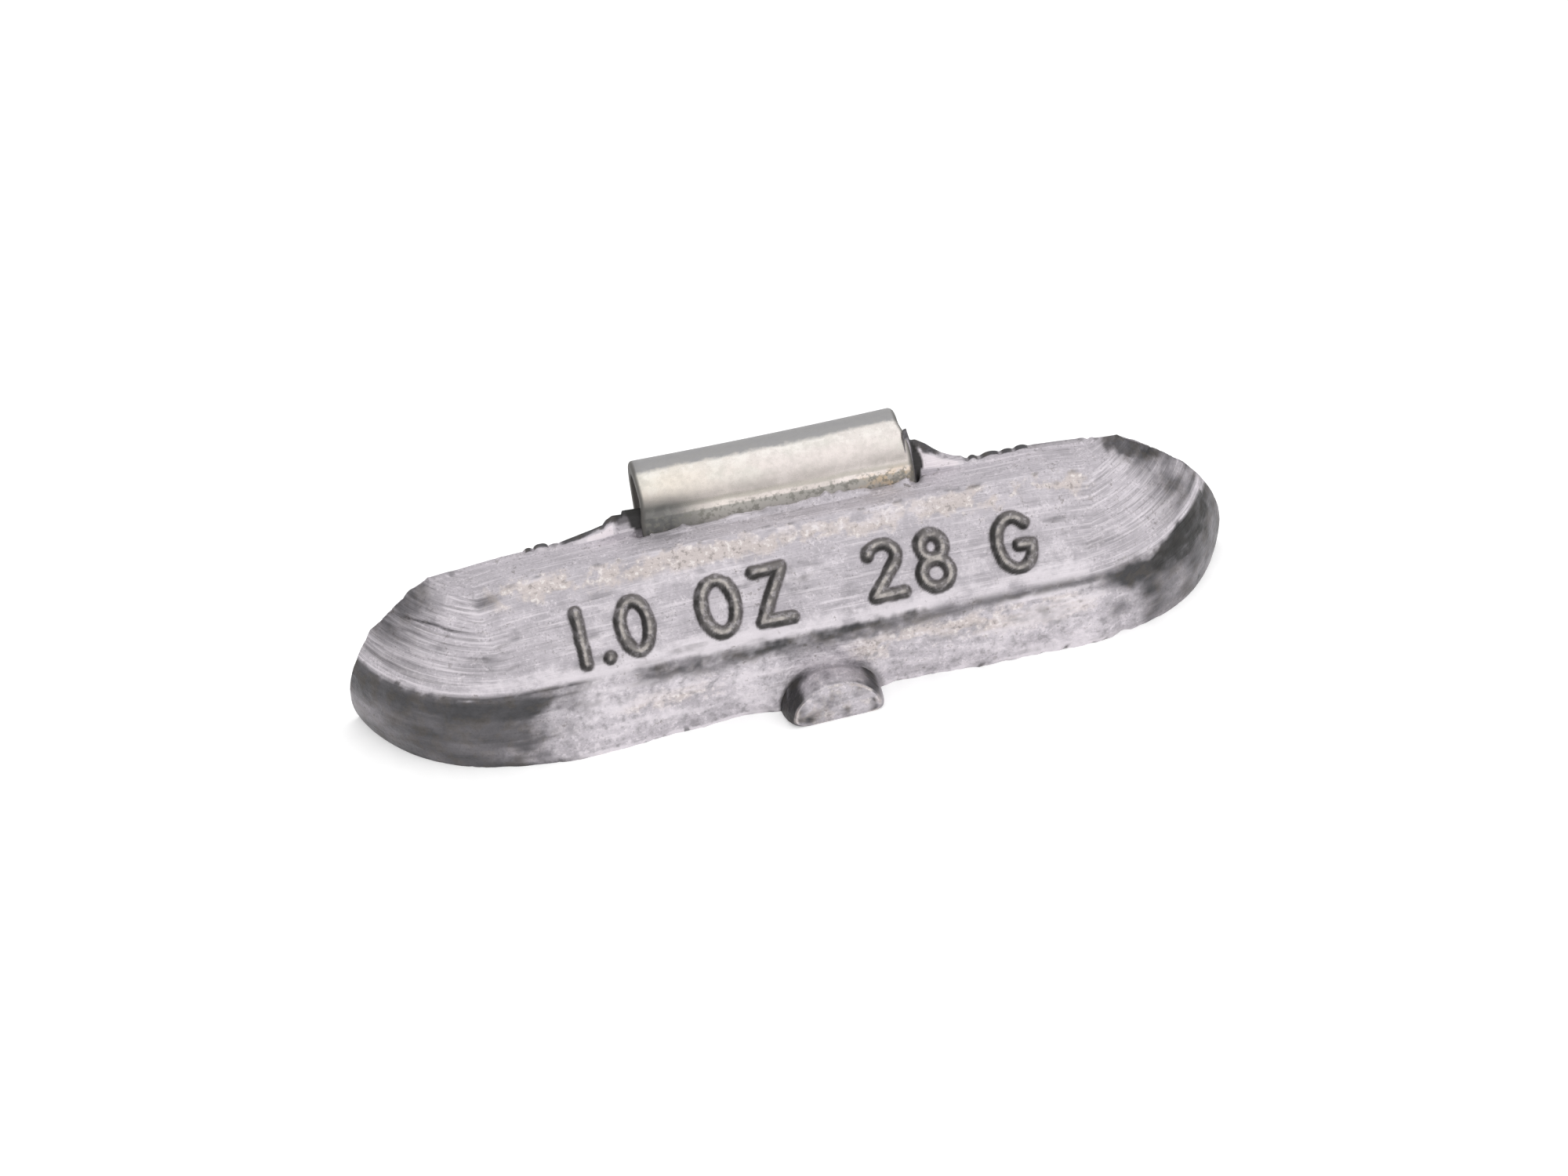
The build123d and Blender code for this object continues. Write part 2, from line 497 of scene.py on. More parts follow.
for side, marks in ((on_left, left_marks), (~on_left, right_marks)):
    for place, depth, width, reach_low, reach_high in marks:
        grooves += side * depth * tool_mark(place, width, reach_low, reach_high)
swellings = 0.20 * tool_mark(0.86, 0.45, 8.0, 13.0) + 0.20 * tool_mark(0.34, 0.50, 8.0, 13.0)
relief = figure_rise - grooves + on_left * swellings
print(f"deepest tool mark {grooves.max():.2f} mm")

# %% Flow lines, wrinkles and pits
ruled_lines = skin_rough(0.12, 4.5, 41, 3)
relief += 0.012 * ruled_lines * np.where(in_face, 1, 0.4)
relief += 0.030 * skin_rough(0.28, 0.35, 43)

deck_edge_band = bell(face_share - 0.90, 0.13)
wrinkled = fade(skin_rough(0.22, 0.3, 47), -0.1, 0.5) + fade(skin_x, 8, 14) * 0.8
wrinkled = np.clip(wrinkled, 0, 1) * deck_edge_band * (1 - fade(end_share, 0.0, 0.25))
relief += 0.11 * wrinkled * skin_rough(1.8, 2.2, 53)
relief += 0.04 * bell(above_knuckle, 0.5) * skin_rough(0.8, 1.4, 59)
pits = fade(skin_rough(2.4, 2.4, 61), 0.52, 0.8)
relief -= 0.05 * pits * np.where(in_deck, 0.35, 1)
skin += surface_normals(skin) * relief[..., None]
print(f"relief from {relief.min():.2f} to {relief.max():.2f} mm")

# %% [markdown]
# The lowest rows get small bites and lips where the base edge met the mould plate. The edge must not
# reach under the floor or past the length of the solid.

# %% Ragged base edge and deck details
base_edge = 1 - fade(skin_z, 0.0, 0.5)
ragged = rough(skin_u * 1.5, skin_u * 0 + 3.3, 67)
ragged_share = np.where(skin_x > 4, 1.0, 0.45) * (1 - fade(end_share, 0.1, 0.6))
skin_y -= 0.13 * ragged * base_edge * ragged_share * in_wall

creep = np.clip(0.22 + 0.30 * rough(skin_x * 0.45, skin_x * 0, 71), 0.02, 0.6)
creep *= 1 + 0.5 * bumps(skin_x * 2.6, skin_x * 0, 73)
strip_front = rim_side - strip_thickness
against_strip = fade(skin_y, strip_front - 0.42, strip_front - 0.02)
creep_share = clip_window(skin_x, -0.15) * in_deck * against_strip
skin_z += creep * creep_share


def sink(middle_x, middle_y, reach_x, reach_y, depth):
    """A small hollow in the deck."""
    hollow = bell(skin_x - middle_x, reach_x) * bell(skin_y - middle_y, reach_y)
    skin[..., 2] -= depth * hollow * (in_deck & (row_number <= flash_start))


clip_left, clip_right = clip_low[0], clip_high[0]
sink(clip_left - 0.35, 3.15, 0.35, 0.25, 0.5)
sink(clip_right + 0.25, 3.10, 0.22, 0.35, 0.5)
np.clip(skin_x, -half_length, half_length, out=skin_x)
np.clip(skin_y, lead_low[1], None, out=skin_y)
np.clip(skin_z, 0, clip_high[2], out=skin_z)
print(f"skin from z = {skin_z.min():.2f} to {skin_z.max():.2f} mm")

# %% [markdown]
# ## Where grime, oxide and painted shade lie
# Grime isn't spread evenly on a weight that has been handled: it lies along the knuckle and in the tool
# marks, and the lead has a tan bloom along the deck edge. The dark patches on the wall at both ends are
# painted reflections, the knuckle band is partly painted shade, and the ends of the face, the figures and
# the crevices get painted shade. A painted image would do, but it needs an unwrapped mesh, so these
# places are worked out per point and stored in the mesh, and the material adds the fine grain.

# %% Uneven outlines of the patches
patchy = skin_rough(0.55, 0.8, 83)
fine_patchy = skin_rough(1.6, 1.8, 89)
streaky = skin_rough(0.30, 2.4, 91)
jagged = skin_rough(3.0, 3.0, 113)


def soft_patch(middle_x, middle_up, reach_x, reach_up):
    """A soft patch at a place along the bar and above the knuckle, with an uneven outline."""
    across = (skin_x - middle_x) / reach_x + 0.35 * patchy
    over = (above_knuckle - middle_up) / reach_up + 0.35 * fine_patchy
    return np.exp(-(across**2) - over**2)


def stretch(low, high, soft=1.5):
    """1 along one stretch of the bar, with soft ends."""
    return window(skin_x, low - soft, low + soft, high - soft, high + soft)


def band(middle_up, reach_up):
    """A soft band along the bar at one height above the knuckle."""
    return bell(above_knuckle - middle_up, reach_up)


print(f"patchy noise from {patchy.min():.2f} to {patchy.max():.2f}")

# %% Painted dark reflections on the wall at both ends
# The charcoal on the wall at both ends is a painted reflection of dark surroundings, and the right end of
# the wall gets painted shade.
under_knuckle = 1 - fade(above_knuckle + 0.18 * fine_patchy + 0.18 * jagged, -0.28, 0.12)
left_border = 13.6 + 0.35 * np.clip(-above_knuckle, 0, 4) - 0.8 * streaky
left_wall_dark_reflection = fade(-skin_x - left_border + 1.8 * patchy + 0.9 * fine_patchy, -2.6, 3.4) * under_knuckle
left_wall_dark_reflection *= (0.80 + 0.09 * band(-1.2, 0.9) + 0.08 * streaky + 0.10 * patchy
              - 0.24 * soft_patch(-25.6, -3.4, 1.6, 1.2) - 0.06 * soft_patch(-18.5, -3.2, 2.6, 1.1))
lens_along = (19.5, 20.5, 22.0, 23.5, 25.4, 27.0, 27.8)
lens_top = np.interp(skin_u, lens_along, (-1.6, -0.75, -0.2, 0.2, 0.0, 0.0, -0.8))
lens_foot = np.interp(skin_u, lens_along, (-1.3, -2.0, -2.3, -2.3, -2.1, -1.6, -1.2))
lens_edge = above_knuckle + 0.15 * fine_patchy + 0.25 * streaky
right_lens_dark_reflection = fade(above_knuckle + 0.3 * fine_patchy, lens_foot - 0.8, lens_foot + 1.0)
right_lens_dark_reflection *= 1 - fade(lens_edge, lens_top - 0.14, lens_top + 0.18)
right_lens_dark_reflection *= np.clip(0.98 + 0.25 * fine_patchy + 0.20 * streaky, 0, 1)
right_lens_dark_reflection *= window(skin_u, 19.8, 20.9, 27.2, 28.2)
right_wall_painted_shade = 0.66 * fade(skin_x + 0.8 * patchy, 18.6, 21.5) * under_knuckle * (1 + 0.5 * patchy)
right_wall_painted_shade = np.maximum(right_wall_painted_shade, 0.60 * soft_patch(18.6, -3.2, 0.9, 0.8))
print(f"mean charcoal: left {left_wall_dark_reflection.mean():.3f}, right {(right_lens_dark_reflection + right_wall_painted_shade).mean():.3f}")

# %% Dirt along the knuckle, and painted shade where the wall turns
below_knuckle = -above_knuckle
# The broad band under the knuckle is partly dirt and partly painted shade where the wall turns into the
# face.
smear_top = fade(below_knuckle + 0.15 * fine_patchy, -0.32, 0.14)
smear_foot = 1 - fade(below_knuckle + 0.45 * fine_patchy + 0.30 * patchy, 0.70, 1.95)
knuckle_dirt_and_shade = 0.67 * smear_top * smear_foot * stretch(-10.5, 8.5, 2.0)
knuckle_dirt_and_shade *= 1 + 0.35 * patchy + 0.40 * fine_patchy + 0.25 * streaky
left_line, right_line = stretch(-22.0, -12.5) * band(-0.12, 0.18), stretch(7.0, 18.5) * band(-0.30, 0.44)
thin_dirt = np.maximum(0.80 * left_line, 0.72 * right_line)
thin_dirt *= fade(patchy + 0.9 * fine_patchy, -1.4, 0.1)
right_smear = 0.95 * soft_patch(19.3, -0.85, 1.9, 0.90) + 0.68 * soft_patch(7.6, -0.60, 2.8, 0.50)
right_smear += 0.70 * soft_patch(12.2, -0.35, 2.6, 0.36) + 0.85 * soft_patch(20.4, -1.35, 1.0, 0.85)
print(f"mean smear: middle {knuckle_dirt_and_shade.mean():.3f}, right {right_smear.mean():.3f}")

# %% Dirt on the deck and the ends, and painted shade at the ends of the face
deck_end = np.hypot((skin_x - 21.0) / 1.9, (skin_y - 2.9) / 1.4) + 0.25 * patchy
deck_patch = 0.80 * (1 - fade(deck_end, 0.45, 1.15)) * fade(skin_z, 7.2, 8.4) * fade(skin_x, 19.0, 19.5)
deck_patch *= 1 + 0.10 * streaky
haze = 0.34 * fade(skin_rough(0.35, 1.1, 109) + 0.5 * streaky, 0.05, 0.75)
haze *= np.clip(1 + 0.8 * fine_patchy, 0, 1.5)
deck_spot = 0.62 * soft_patch(-17.7, 6.05, 0.85, 0.55) + 0.45 * soft_patch(-16.1, 6.55, 0.45, 0.20)
border_dots = 0.60 * band(6.60, 0.20) * fade(fine_patchy, 0.05, 0.6) * stretch(-16.0, 18.0)
# The ends of the slanted face, where they turn away, are darkened with painted shade, in stripes on the
# left.
left_face_end_shade = fade(end_share, 0.20, 0.95) * (on_left & ~in_wall)
left_face_end_shade *= np.clip(0.52 + 0.50 * rough(face_share * 4.6, skin_u * 0.15, 103), 0, 0.95)
right_face_end_shade = fade(end_share, 0.30, 0.85) * ~(on_left | in_wall)
right_face_end_shade *= 0.64 + 0.30 * patchy + 0.25 * streaky
foot_dots = 0.7 * (1 - fade(skin_z, 0.15, 0.45)) * in_wall * fade(fine_patchy, 0.25, 0.65)
scored_dirt = 0.62 * np.clip(grooves / 0.12, 0, 1)
print(f"mean haze {haze.mean():.3f}, mean dirt in the tool marks {scored_dirt.mean():.3f}")

# %% [markdown]
# The flash is dark on its thin crest and bright where it broke. Beside the clip's neck it left two
# crevices, which are painted black as shade: a narrow one on the right and a wider one on the left.
# A lump beside the left one gets painted shade too.

# %% Dirt on the flash, and painted shade in the crevices
web_rise = flash_height(skin_x)
flash_share = np.clip((row_number - flash_start) / (rows - 1 - flash_start), 0, 1)
standing = fade(web_rise, 0.06, 0.20)
crest_share = 0.56 - 0.16 * window(skin_x, 8.4, 8.8, 9.2, 10.4)
flash_dark = 0.86 * fade(flash_share + 0.22 * fine_patchy, crest_share, crest_share + 0.20) * standing
flash_dark *= 1 - 0.7 * window(skin_x, 9.8, 10.3, 11.3, 11.7)
crevice_up = np.where(flash_share > 0, flash_share * web_rise, skin_y - rim_side)
crevice_wide = 0.30 * np.clip(1 - ((crevice_up - 0.45) / 1.30) ** 2, 0, 1)
from_crevice = np.abs(skin_x - clip_right - 0.30 - 0.8 * crevice_wide) - crevice_wide
right_crevice_shade = np.where(in_deck & (crevice_wide > 0), 1 - fade(from_crevice, -0.06, 0.05), 0)
left_low = 0.42 - 0.75 * np.clip(skin_x + 8.75, 0, 1.2)
left_crevice_shade = fade(skin_x + 0.25 * (crevice_up - 0.8), -8.80, -8.45) * (1 - fade(skin_x, -7.3, -7.1))
left_crevice_shade *= fade(crevice_up + 0.12 * fine_patchy, left_low - 0.05, left_low + 0.10)
left_crevice_shade *= in_deck
left_lump_shade = 0.72 * window(skin_x, -9.45, -9.1, -8.5, -8.3) * fade(crevice_up, 0.35, 0.6)
# The crevices and the lump beside the left one are painted dark as shade.
crevice_shade = np.maximum(0.97 * np.maximum(right_crevice_shade, left_crevice_shade), left_lump_shade)
print(f"{(crevice_shade > 0.9).sum()} points lie in the crevices")

# %% All of the grime and painted shade
gate_halo = np.hypot(0.92 * (skin_x - gate_middle - 0.1), skin_z) - gate_radius
gate_side = fade(gate_middle - skin_x, 0.6, 2.2) + 0.5 * fade(skin_x - gate_middle, 0.9, 2.2)
gate_dirt = bell(gate_halo, 0.26) * (0.22 + 0.60 * gate_side) * in_wall
grime_and_painted_shade = np.maximum.reduce([
    left_wall_dark_reflection, right_lens_dark_reflection, right_wall_painted_shade, knuckle_dirt_and_shade, thin_dirt, right_smear, deck_patch, deck_spot, haze,
    border_dots, left_face_end_shade, right_face_end_shade, foot_dots, scored_dirt, flash_dark, gate_dirt,
])
grime_and_painted_shade = np.clip(grime_and_painted_shade, 0, 1)
print(f"mean grime {grime_and_painted_shade.mean():.2f}")

# %% [markdown]
# Tan oxide lies along the deck edge and in patches under the knuckle. Rubbed places are paler: the
# foot of the wall and the lines above the right charcoal patch. The left corner of the deck gets a
# painted highlight. The figures get painted shade on the side that faces away from the light, and a
# painted highlight along their crest.

# %% Bloom and rubbed places
bloom = deck_edge_band * fade(patchy + 0.7 * fine_patchy, -0.85, 0.25) * stretch(-17.5, 18.5)
wall_bloom = 1.1 * band(-1.9, 1.1) * fade(patchy + 0.5 * fine_patchy, -0.80, 0.20) * stretch(2.5, 17.0)
wall_bloom = np.maximum(wall_bloom, 0.9 * soft_patch(-8.2, -2.4, 3.2, 0.7))
bloom = np.clip(np.maximum(bloom, 0.9 * wall_bloom), 0, 1)

# The first patch, at the left corner of the deck, is a painted highlight.
pale = 0.70 * soft_patch(-21.3, 5.9, 1.2, 0.5) + 0.35 * soft_patch(-21.3, 0.75, 2.4, 0.4)
right_scratches = window(skin_u, 18.2, 20.0, 22.5, 25.0)
pale += 0.85 * band(0.45, 0.5) * right_scratches * fade(streaky, -0.1, 0.45)
rubbed_wall = 0.34 + 0.60 * streaky + 0.45 * patchy + 0.20 * fade(skin_x, 10, 14)
pale += in_wall * rubbed_wall * stretch(-14, 18)
pale += 0.75 * band(0.60, 0.60) * stretch(-19, 17) * (1 + 0.8 * patchy)
face_clouds = fade(skin_rough(0.16, 0.8, 107), 0.0, 0.6)
pale += 0.45 * face_clouds * in_face * stretch(-14, 17)
broken_front = window(flash_share, 0.02, 0.12, 0.50, 0.68) * fade(web_rise, 0.2, 0.5)
pale += 2.0 * broken_front * np.where(skin_x < 0, 1 - fade(skin_x, -9.6, -9.2), fade(skin_x, 8.5, 8.7))
pale += 1.2 * bell(skin_x + 8.7, 0.5) * bell(crevice_up - 0.12, 0.14) * in_deck
pale += 0.8 * (1 - fade(skin_z, 0.08, 0.40)) * in_wall * stretch(-14, 20)
pale = np.clip(pale, 0, 2)
calm = in_deck * (1 - fade(end_share, 0.1, 0.5))
grained = in_wall * (1 - fade(above_knuckle, -0.9, 0.1))
scored = fade(np.abs(skin_x), 15.0, 19.5) * in_face * np.where(on_left, 1, 0.8)
print(f"mean bloom {bloom.mean():.2f}, mean rubbed {pale.mean():.2f}")

# %% Painted shade and painted crest highlight of the figures
lift_up, lift_along = np.gradient(from_stroke)
lift_size = np.maximum(np.hypot(lift_up, lift_along), 1e-6)
away_from_light = 0.5 - 0.5 * (0.77 * lift_along + 0.64 * lift_up) / lift_size
flank_painted_shade = fade(from_stroke * (1 + 0.9 * away_from_light), 0.13, 0.32)
flank_painted_shade *= 1 - fade(from_stroke, stroke_half * 0.95, stroke_half * 1.22)
flank_painted_shade *= (0.28 + 0.64 * fade(away_from_light, 0.30, 0.72)) * np.clip(0.95 + 0.6 * fine_patchy, 0.4, 1)
# stroke covers each figure's body and rises above 1 along its crest, where the material paints a highlight.
stroke = 1 - fade(from_stroke, stroke_half * 0.8, stroke_half * 1.15)
stroke += (1 - fade(from_stroke, 0.03, 0.19)) * np.clip(0.66 + 1.0 * jagged, 0.05, 1)
# shade is painted shade: the figures' flanks away from the light, the crevices and the right end's dark
# reflection.
shade = np.maximum.reduce([flank_painted_shade, crevice_shade, 0.88 * right_lens_dark_reflection**2])
print(f"{(shade > 0.5).sum()} points in deep shade")

# %% [markdown]
# ## Rim side and base
# The rim side is the shallow hollow that seats on the wheel. The clip's leg lies flush in it, so the
# lead steps back behind the leg, except where it fills the leg's two round holes. The rim side has
# fewer rows than the front, so its two end strips are zipped to the finer front with triangles.

# %% Rim side and base grids
anchor_radius = 1.5
anchor_half_spacing = 4.0
leg_length = 6.5
leg_foot_z = body_height - leg_length
anchor_z = body_height - leg_length / 2
behind_leg = 0.35

rim_rows = 24
rim_levels = np.unique(np.linspace(0, deck_row, rim_rows).round().astype(int))[::-1]
level_share = (skin[rim_levels, 0, 2] / skin[deck_row, 0, 2])[1:, None]
across = (skin[-1, :, 0] - skin[-1, 0, 0]) / (skin[-1, -1, 0] - skin[-1, 0, 0])
rim_left, rim_right = skin[rim_levels[1:], 0, 0][:, None], skin[rim_levels[1:], -1, 0][:, None]
rim_x = between(rim_left, rim_right, across)
rim_z = level_share * (skin[-1, :, 2] - flash_height(skin[-1, :, 0]))
rim_y = seat_y(np.clip(rim_z, 0, body_height)) + 0.02 * rough(rim_x * 0.5, rim_z * 0.7, 97)
leg_cover = clip_window(rim_x, -0.06) * fade(rim_z, leg_foot_z + 0.06, leg_foot_z + 0.16)
anchor_gap = np.hypot(np.abs(rim_x - strip_middle) - anchor_half_spacing, rim_z - anchor_z)
leg_cover *= fade(anchor_gap, anchor_radius + 0.15, anchor_radius + 0.35)
rim_y -= behind_leg * leg_cover
rim_side_grid = np.stack([rim_x, rim_y, rim_z], axis=2)

base_rows = 4
base_places = np.linspace(0, 1, base_rows + 2)[1:-1, None, None]
base_grid = between(rim_side_grid[-1], skin[0], base_places)
base_grid[..., 2] = 0
print(f"rim side {rim_side_grid.shape[0]} rows, base {base_rows} rows")

# %% [markdown]
# ## The gate stub
# Lead ran into the mould through a half-round gate low on the front, and the broken-off stub is still
# there. It could be drawn out of the wall's own points, but its rim would be ragged. So it is a short
# shell of rings: a flared flank, a narrow bead and an uneven end. Its root climbs inside the wall, so
# that no face of it lies in the plane of the base.

# %% One ring of the gate stub
gate_face_y = lead_low[1] + 0.03
gate_slant = 0.04
gate_lean = 0.06
gate_profile = [
    (-0.6, 3.02, 2.62, 0.0, 0.0), (0.0, 3.00, 2.60, 0.02, 0.02), (0.3, 2.97, 2.58, 0.05, 0.08),
    (0.6, 2.90, 2.56, 0.10, 0.20), (0.8, 2.80, 2.53, 0.15, 0.30), (0.93, 2.70, 2.50, 0.20, 0.38),
    (0.98, 2.63, 2.46, 0.24, 0.43), (1.0, 2.57, 2.40, 0.27, 0.47),
]
end_shift = 0.12
end_middle_z = 0.9
root_climb = 0.5
arch = np.radians(np.linspace(0, 180, 61))
corner = np.radians(np.linspace(-90, 0, 7))[:-1]
chord = np.linspace(0, 1, 16)[1:-1]


def gate_ring(half_width, height, right_lift, left_lift):
    """Half round, from the right foot over the top to the left foot and back, with rounded feet."""
    foot_x = 2 * (np.cos(corner) - 1)
    foot_z = 1 + np.sin(corner)
    lift = between(right_lift, left_lift, 0.5 - 0.5 * np.cos(arch))
    right_foot = half_width + right_lift * foot_x
    left_foot = half_width + left_lift * foot_x
    back = between(-left_foot[0], right_foot[0], chord)
    x = np.concatenate([right_foot, half_width * np.cos(arch), -left_foot[::-1], back])
    arch_z = lift + (height - lift) * np.sin(arch)
    z = np.concatenate([right_lift * foot_z, arch_z, left_lift * foot_z[::-1], 0 * chord])
    return x, z


# %% Stack the rings
outs, *ring_sizes = np.array(gate_profile).T
flank_outs = np.unique(np.concatenate([outs, np.linspace(0.0, 0.9, 16)]))
end_shares = np.array([0.975, 0.95, 0.92, 0.88, 0.8, 0.7, 0.6, 0.5, 0.4, 0.3, 0.2, 0.1, 0.0])
gate_x, gate_z, gate_out = [], [], []
for out in flank_outs:
    ring_x, ring_z = gate_ring(*(np.interp(out, outs, sizes) for sizes in ring_sizes))
    gate_x.append(ring_x)
    gate_z.append(ring_z)
    gate_out.append(out)
for share in end_shares:
    gate_x.append(share * ring_x)
    gate_z.append(between(end_middle_z, ring_z, share))
    gate_out.append(1.0)
gate_x, gate_z = np.array(gate_x), np.array(gate_z)
gate_out = np.array(gate_out)[:, None]
gate_z = gate_z + root_climb * np.clip(-gate_out, 0, None)
on_end = np.concatenate([np.zeros(len(flank_outs)), 1 - end_shares])[:, None]
wall_y = -rim_side + gate_z * wall_draft
end_y = gate_face_y + gate_slant * (gate_x + gate_radius) + gate_lean * gate_z
end_rough = rough(gate_x * 1.3, gate_z * 1.3, 17)
end_y = end_y + 0.02 * fade(on_end, 0.02, 0.09) + 0.06 * fade(on_end, 0, 0.2) * end_rough
end_y = np.maximum(end_y, lead_low[1])
gate_y = between(wall_y, end_y, gate_out)
gate_grid = np.stack([gate_x + gate_middle + end_shift * gate_out, gate_y, gate_z], axis=2)
print(f"gate stub: {gate_grid.shape[0]} rings, end at y = {gate_y.min():.2f} mm")

# %% [markdown]
# Its flank gets painted shade, black on the left and darker on the right, with a painted shadow line
# round its root, and it is greenish on top. The bead round its end is tan, and the end itself is mottled.
# The flat underside is plain, like the top of the flank.

# %% Stains and painted shade on the gate stub
gate_angle = np.concatenate([0 * corner, arch, math.pi + 0 * corner, math.pi / 2 + 0 * chord])
gate_angle = np.degrees(gate_angle)[None]
gate_rough = rough(gate_x * 1.8, gate_z * 1.8 + gate_out * 3, 19)
# The dark left and right sides of the flank are painted shade, and the root line is a painted shadow.
left_flank_shade = fade(gate_angle + 18 * gate_rough, 112, 150)
right_flank_shade = bell(gate_angle - 34, 17)
flank_dirt_and_shade = 0.24 + 0.76 * left_flank_shade + 0.70 * right_flank_shade + 0.15 * (1 - fade(gate_angle, 5, 30))
flank_dirt_and_shade = flank_dirt_and_shade + 0.16 * gate_rough
root_shadow_line = 0.34 * bell(gate_out - 0.08, 0.14)
bead_line = (0.40 + 0.45 * gate_rough) * bell(gate_out - 0.88, 0.08)
flank_dirt_and_shade = np.maximum(flank_dirt_and_shade, np.maximum(root_shadow_line, bead_line) + 0.1)
end_dirt = 0.26 + 0.45 * gate_rough + 0.08 * bell(on_end - 0.09, 0.05)
end_dirt = end_dirt + 0.5 * bell(gate_x + 1.75, 0.3) * bell(gate_z - 0.35, 0.3)
end_dirt = end_dirt + 0.5 * bell(gate_x - 2.15, 0.12) * bell(gate_z - 0.75, 0.35)
bead = np.where(on_end > 0, 1 - fade(on_end, 0.03, 0.07), fade(gate_out, 0.95, 0.985))
bead = bead * np.clip(0.60 + 0.8 * gate_rough, 0, 1)
gate_grime_and_shade = np.where(on_end > 0, end_dirt, flank_dirt_and_shade) * (1 - bead) + 0.22 * bead
gate_bloom = np.maximum(0.9 * bead, np.where(on_end > 0, 0.35 + 0.4 * gate_rough, 0.15))
print(f"gate stub: mean grime {gate_grime_and_shade.mean():.2f}, mean bloom {gate_bloom.mean():.2f}")

# %% [markdown]
# The grids share their border points by number, so the casting becomes one closed skin with no seams.
# The gate stub is a second closed shell in the same mesh.

# %% Faces of a grid and between two chains
def grid_faces(numbers):
    """Faces between neighbouring rows, without the corners that fall together."""
    a, b = numbers[:-1, :-1].ravel(), numbers[:-1, 1:].ravel()
    c, d = numbers[1:, 1:].ravel(), numbers[1:, :-1].ravel()
    faces = [tuple(dict.fromkeys(face)) for face in zip(a, b, c, d)]
    return [face for face in faces if len(face) > 2]


def zip_chains(fine, coarse):
    """Triangles between two chains of points that run side by side."""
    faces, i, j = [], 0, 0
    while i < len(fine) - 1 or j < len(coarse) - 1:
        fine_next = (i + 1) / (len(fine) - 1)
        coarse_next = (j + 1) / (len(coarse) - 1)
        if j == len(coarse) - 1 or (i < len(fine) - 1 and fine_next <= coarse_next):
            faces.append((fine[i], fine[i + 1], coarse[j]))
            i += 1
        else:
            faces.append((fine[i], coarse[j + 1], coarse[j]))
            j += 1
    return [face for face in faces if len(set(face)) > 2]


# %% Join the grids into closed skins
grids = [skin, rim_side_grid, base_grid, gate_grid]
numbers, count = [], 0
for grid in grids:
    size = grid[..., 0].size
    numbers.append(count + np.arange(size).reshape(grid.shape[:2]))
    count += size
skin_numbers, rim_numbers, base_numbers, gate_numbers = numbers
skin_numbers[deck_row:, 0] = skin_numbers[deck_row, 0]
skin_numbers[deck_row:, -1] = skin_numbers[deck_row, -1]
rim_inner = np.concatenate([skin_numbers[-1:, 1:-1], rim_numbers[:, 1:-1]])
faces = grid_faces(skin_numbers) + grid_faces(rim_inner)
left_chain, right_chain = skin_numbers[deck_row::-1, 0], skin_numbers[deck_row::-1, -1]
faces += zip_chains(left_chain, rim_inner[:, 0])
faces += [face[::-1] for face in zip_chains(right_chain, rim_inner[:, -1])]

base_all = np.concatenate([rim_numbers[-1:], base_numbers, skin_numbers[:1]])
base_all[:, 0], base_all[:, -1] = skin_numbers[0, 0], skin_numbers[0, -1]
faces += grid_faces(base_all)
gate_numbers[-1] = gate_numbers[-1, 0]
faces += grid_faces(np.concatenate([gate_numbers, gate_numbers[:, :1]], axis=1)) + [tuple(gate_numbers[0])]
print(f"{len(faces)} faces")

# %% Values stored at the points
def flat(grid):
    return grid.reshape(-1, grid.shape[-1])


def field(*values):
    """One value for every point of the casting, from an array or a number for each grid."""
    return np.concatenate([np.broadcast_to(v, grid.shape[:2]).ravel() for v, grid in zip(values, grids)])


points = np.concatenate([flat(grid) for grid in grids])
rim_grime = 0.30 + 0.30 * rough(rim_x * 0.4, rim_z * 0.6, 101)
point_fields = {
    "grime_and_painted_shade": field(grime_and_painted_shade, np.clip(rim_grime, 0, 1), 0.4, np.clip(gate_grime_and_shade, 0, 1)),
    "bloom": field(bloom, 0.1, 0.1, np.clip(gate_bloom, 0, 1)),
    "pale": field(pale, 0, 0, 0.1),
    "calm": field(calm, 0.3, 0.3, 0.2),
    "scored": field(scored, 0.2, 0.2, 0),
    "grained": field(grained, 0.6, 0.6, 0.8),
    "shade": field(shade, 0, 0, np.where(on_end > 0, 0, 0.5 * left_flank_shade)),
    "stroke": field(stroke, 0, 0, 0),
    "run_along": field(skin_u, rim_x, base_grid[..., 0], gate_x),
    "run_up": field(skin_v, -rim_z, base_grid[..., 1], gate_z + 2 * gate_out),
}
print("stored at each point:", ", ".join(point_fields))

# %% Make the casting object
def make_piece(name, points, faces, fields, sharp_angle):
    """A smooth mesh piece, in metres, with a stored value per point for each field."""
    used = np.unique(np.concatenate([np.asarray(face) for face in faces]))
    new_number = np.full(len(points), -1)
    new_number[used] = np.arange(len(used))
    mesh = bpy.data.meshes.new(name)
    new_faces = [tuple(new_number[list(face)].tolist()) for face in faces]
    mesh.from_pydata((points[used] * MM).tolist(), [], new_faces)
    for field_name, values in fields.items():
        stored = mesh.attributes.new(field_name, "FLOAT", "POINT")
        stored.data.foreach_set("value", np.ascontiguousarray(values[used], dtype=np.float32))
    mesh.shade_smooth()
    mesh.set_sharp_from_angle(angle=math.radians(sharp_angle))
    mesh.validate()
    piece = bpy.data.objects.new(name, mesh)
    bpy.context.collection.objects.link(piece)
    triangles = sum(len(polygon.vertices) - 2 for polygon in mesh.polygons)
    print(f"{name}: {len(used)} points, {triangles} triangles")
    return piece


cast_crease = 62
casting = make_piece("cast_weight", points, faces, point_fields, cast_crease)
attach(casting, "root")
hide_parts("lead_body")

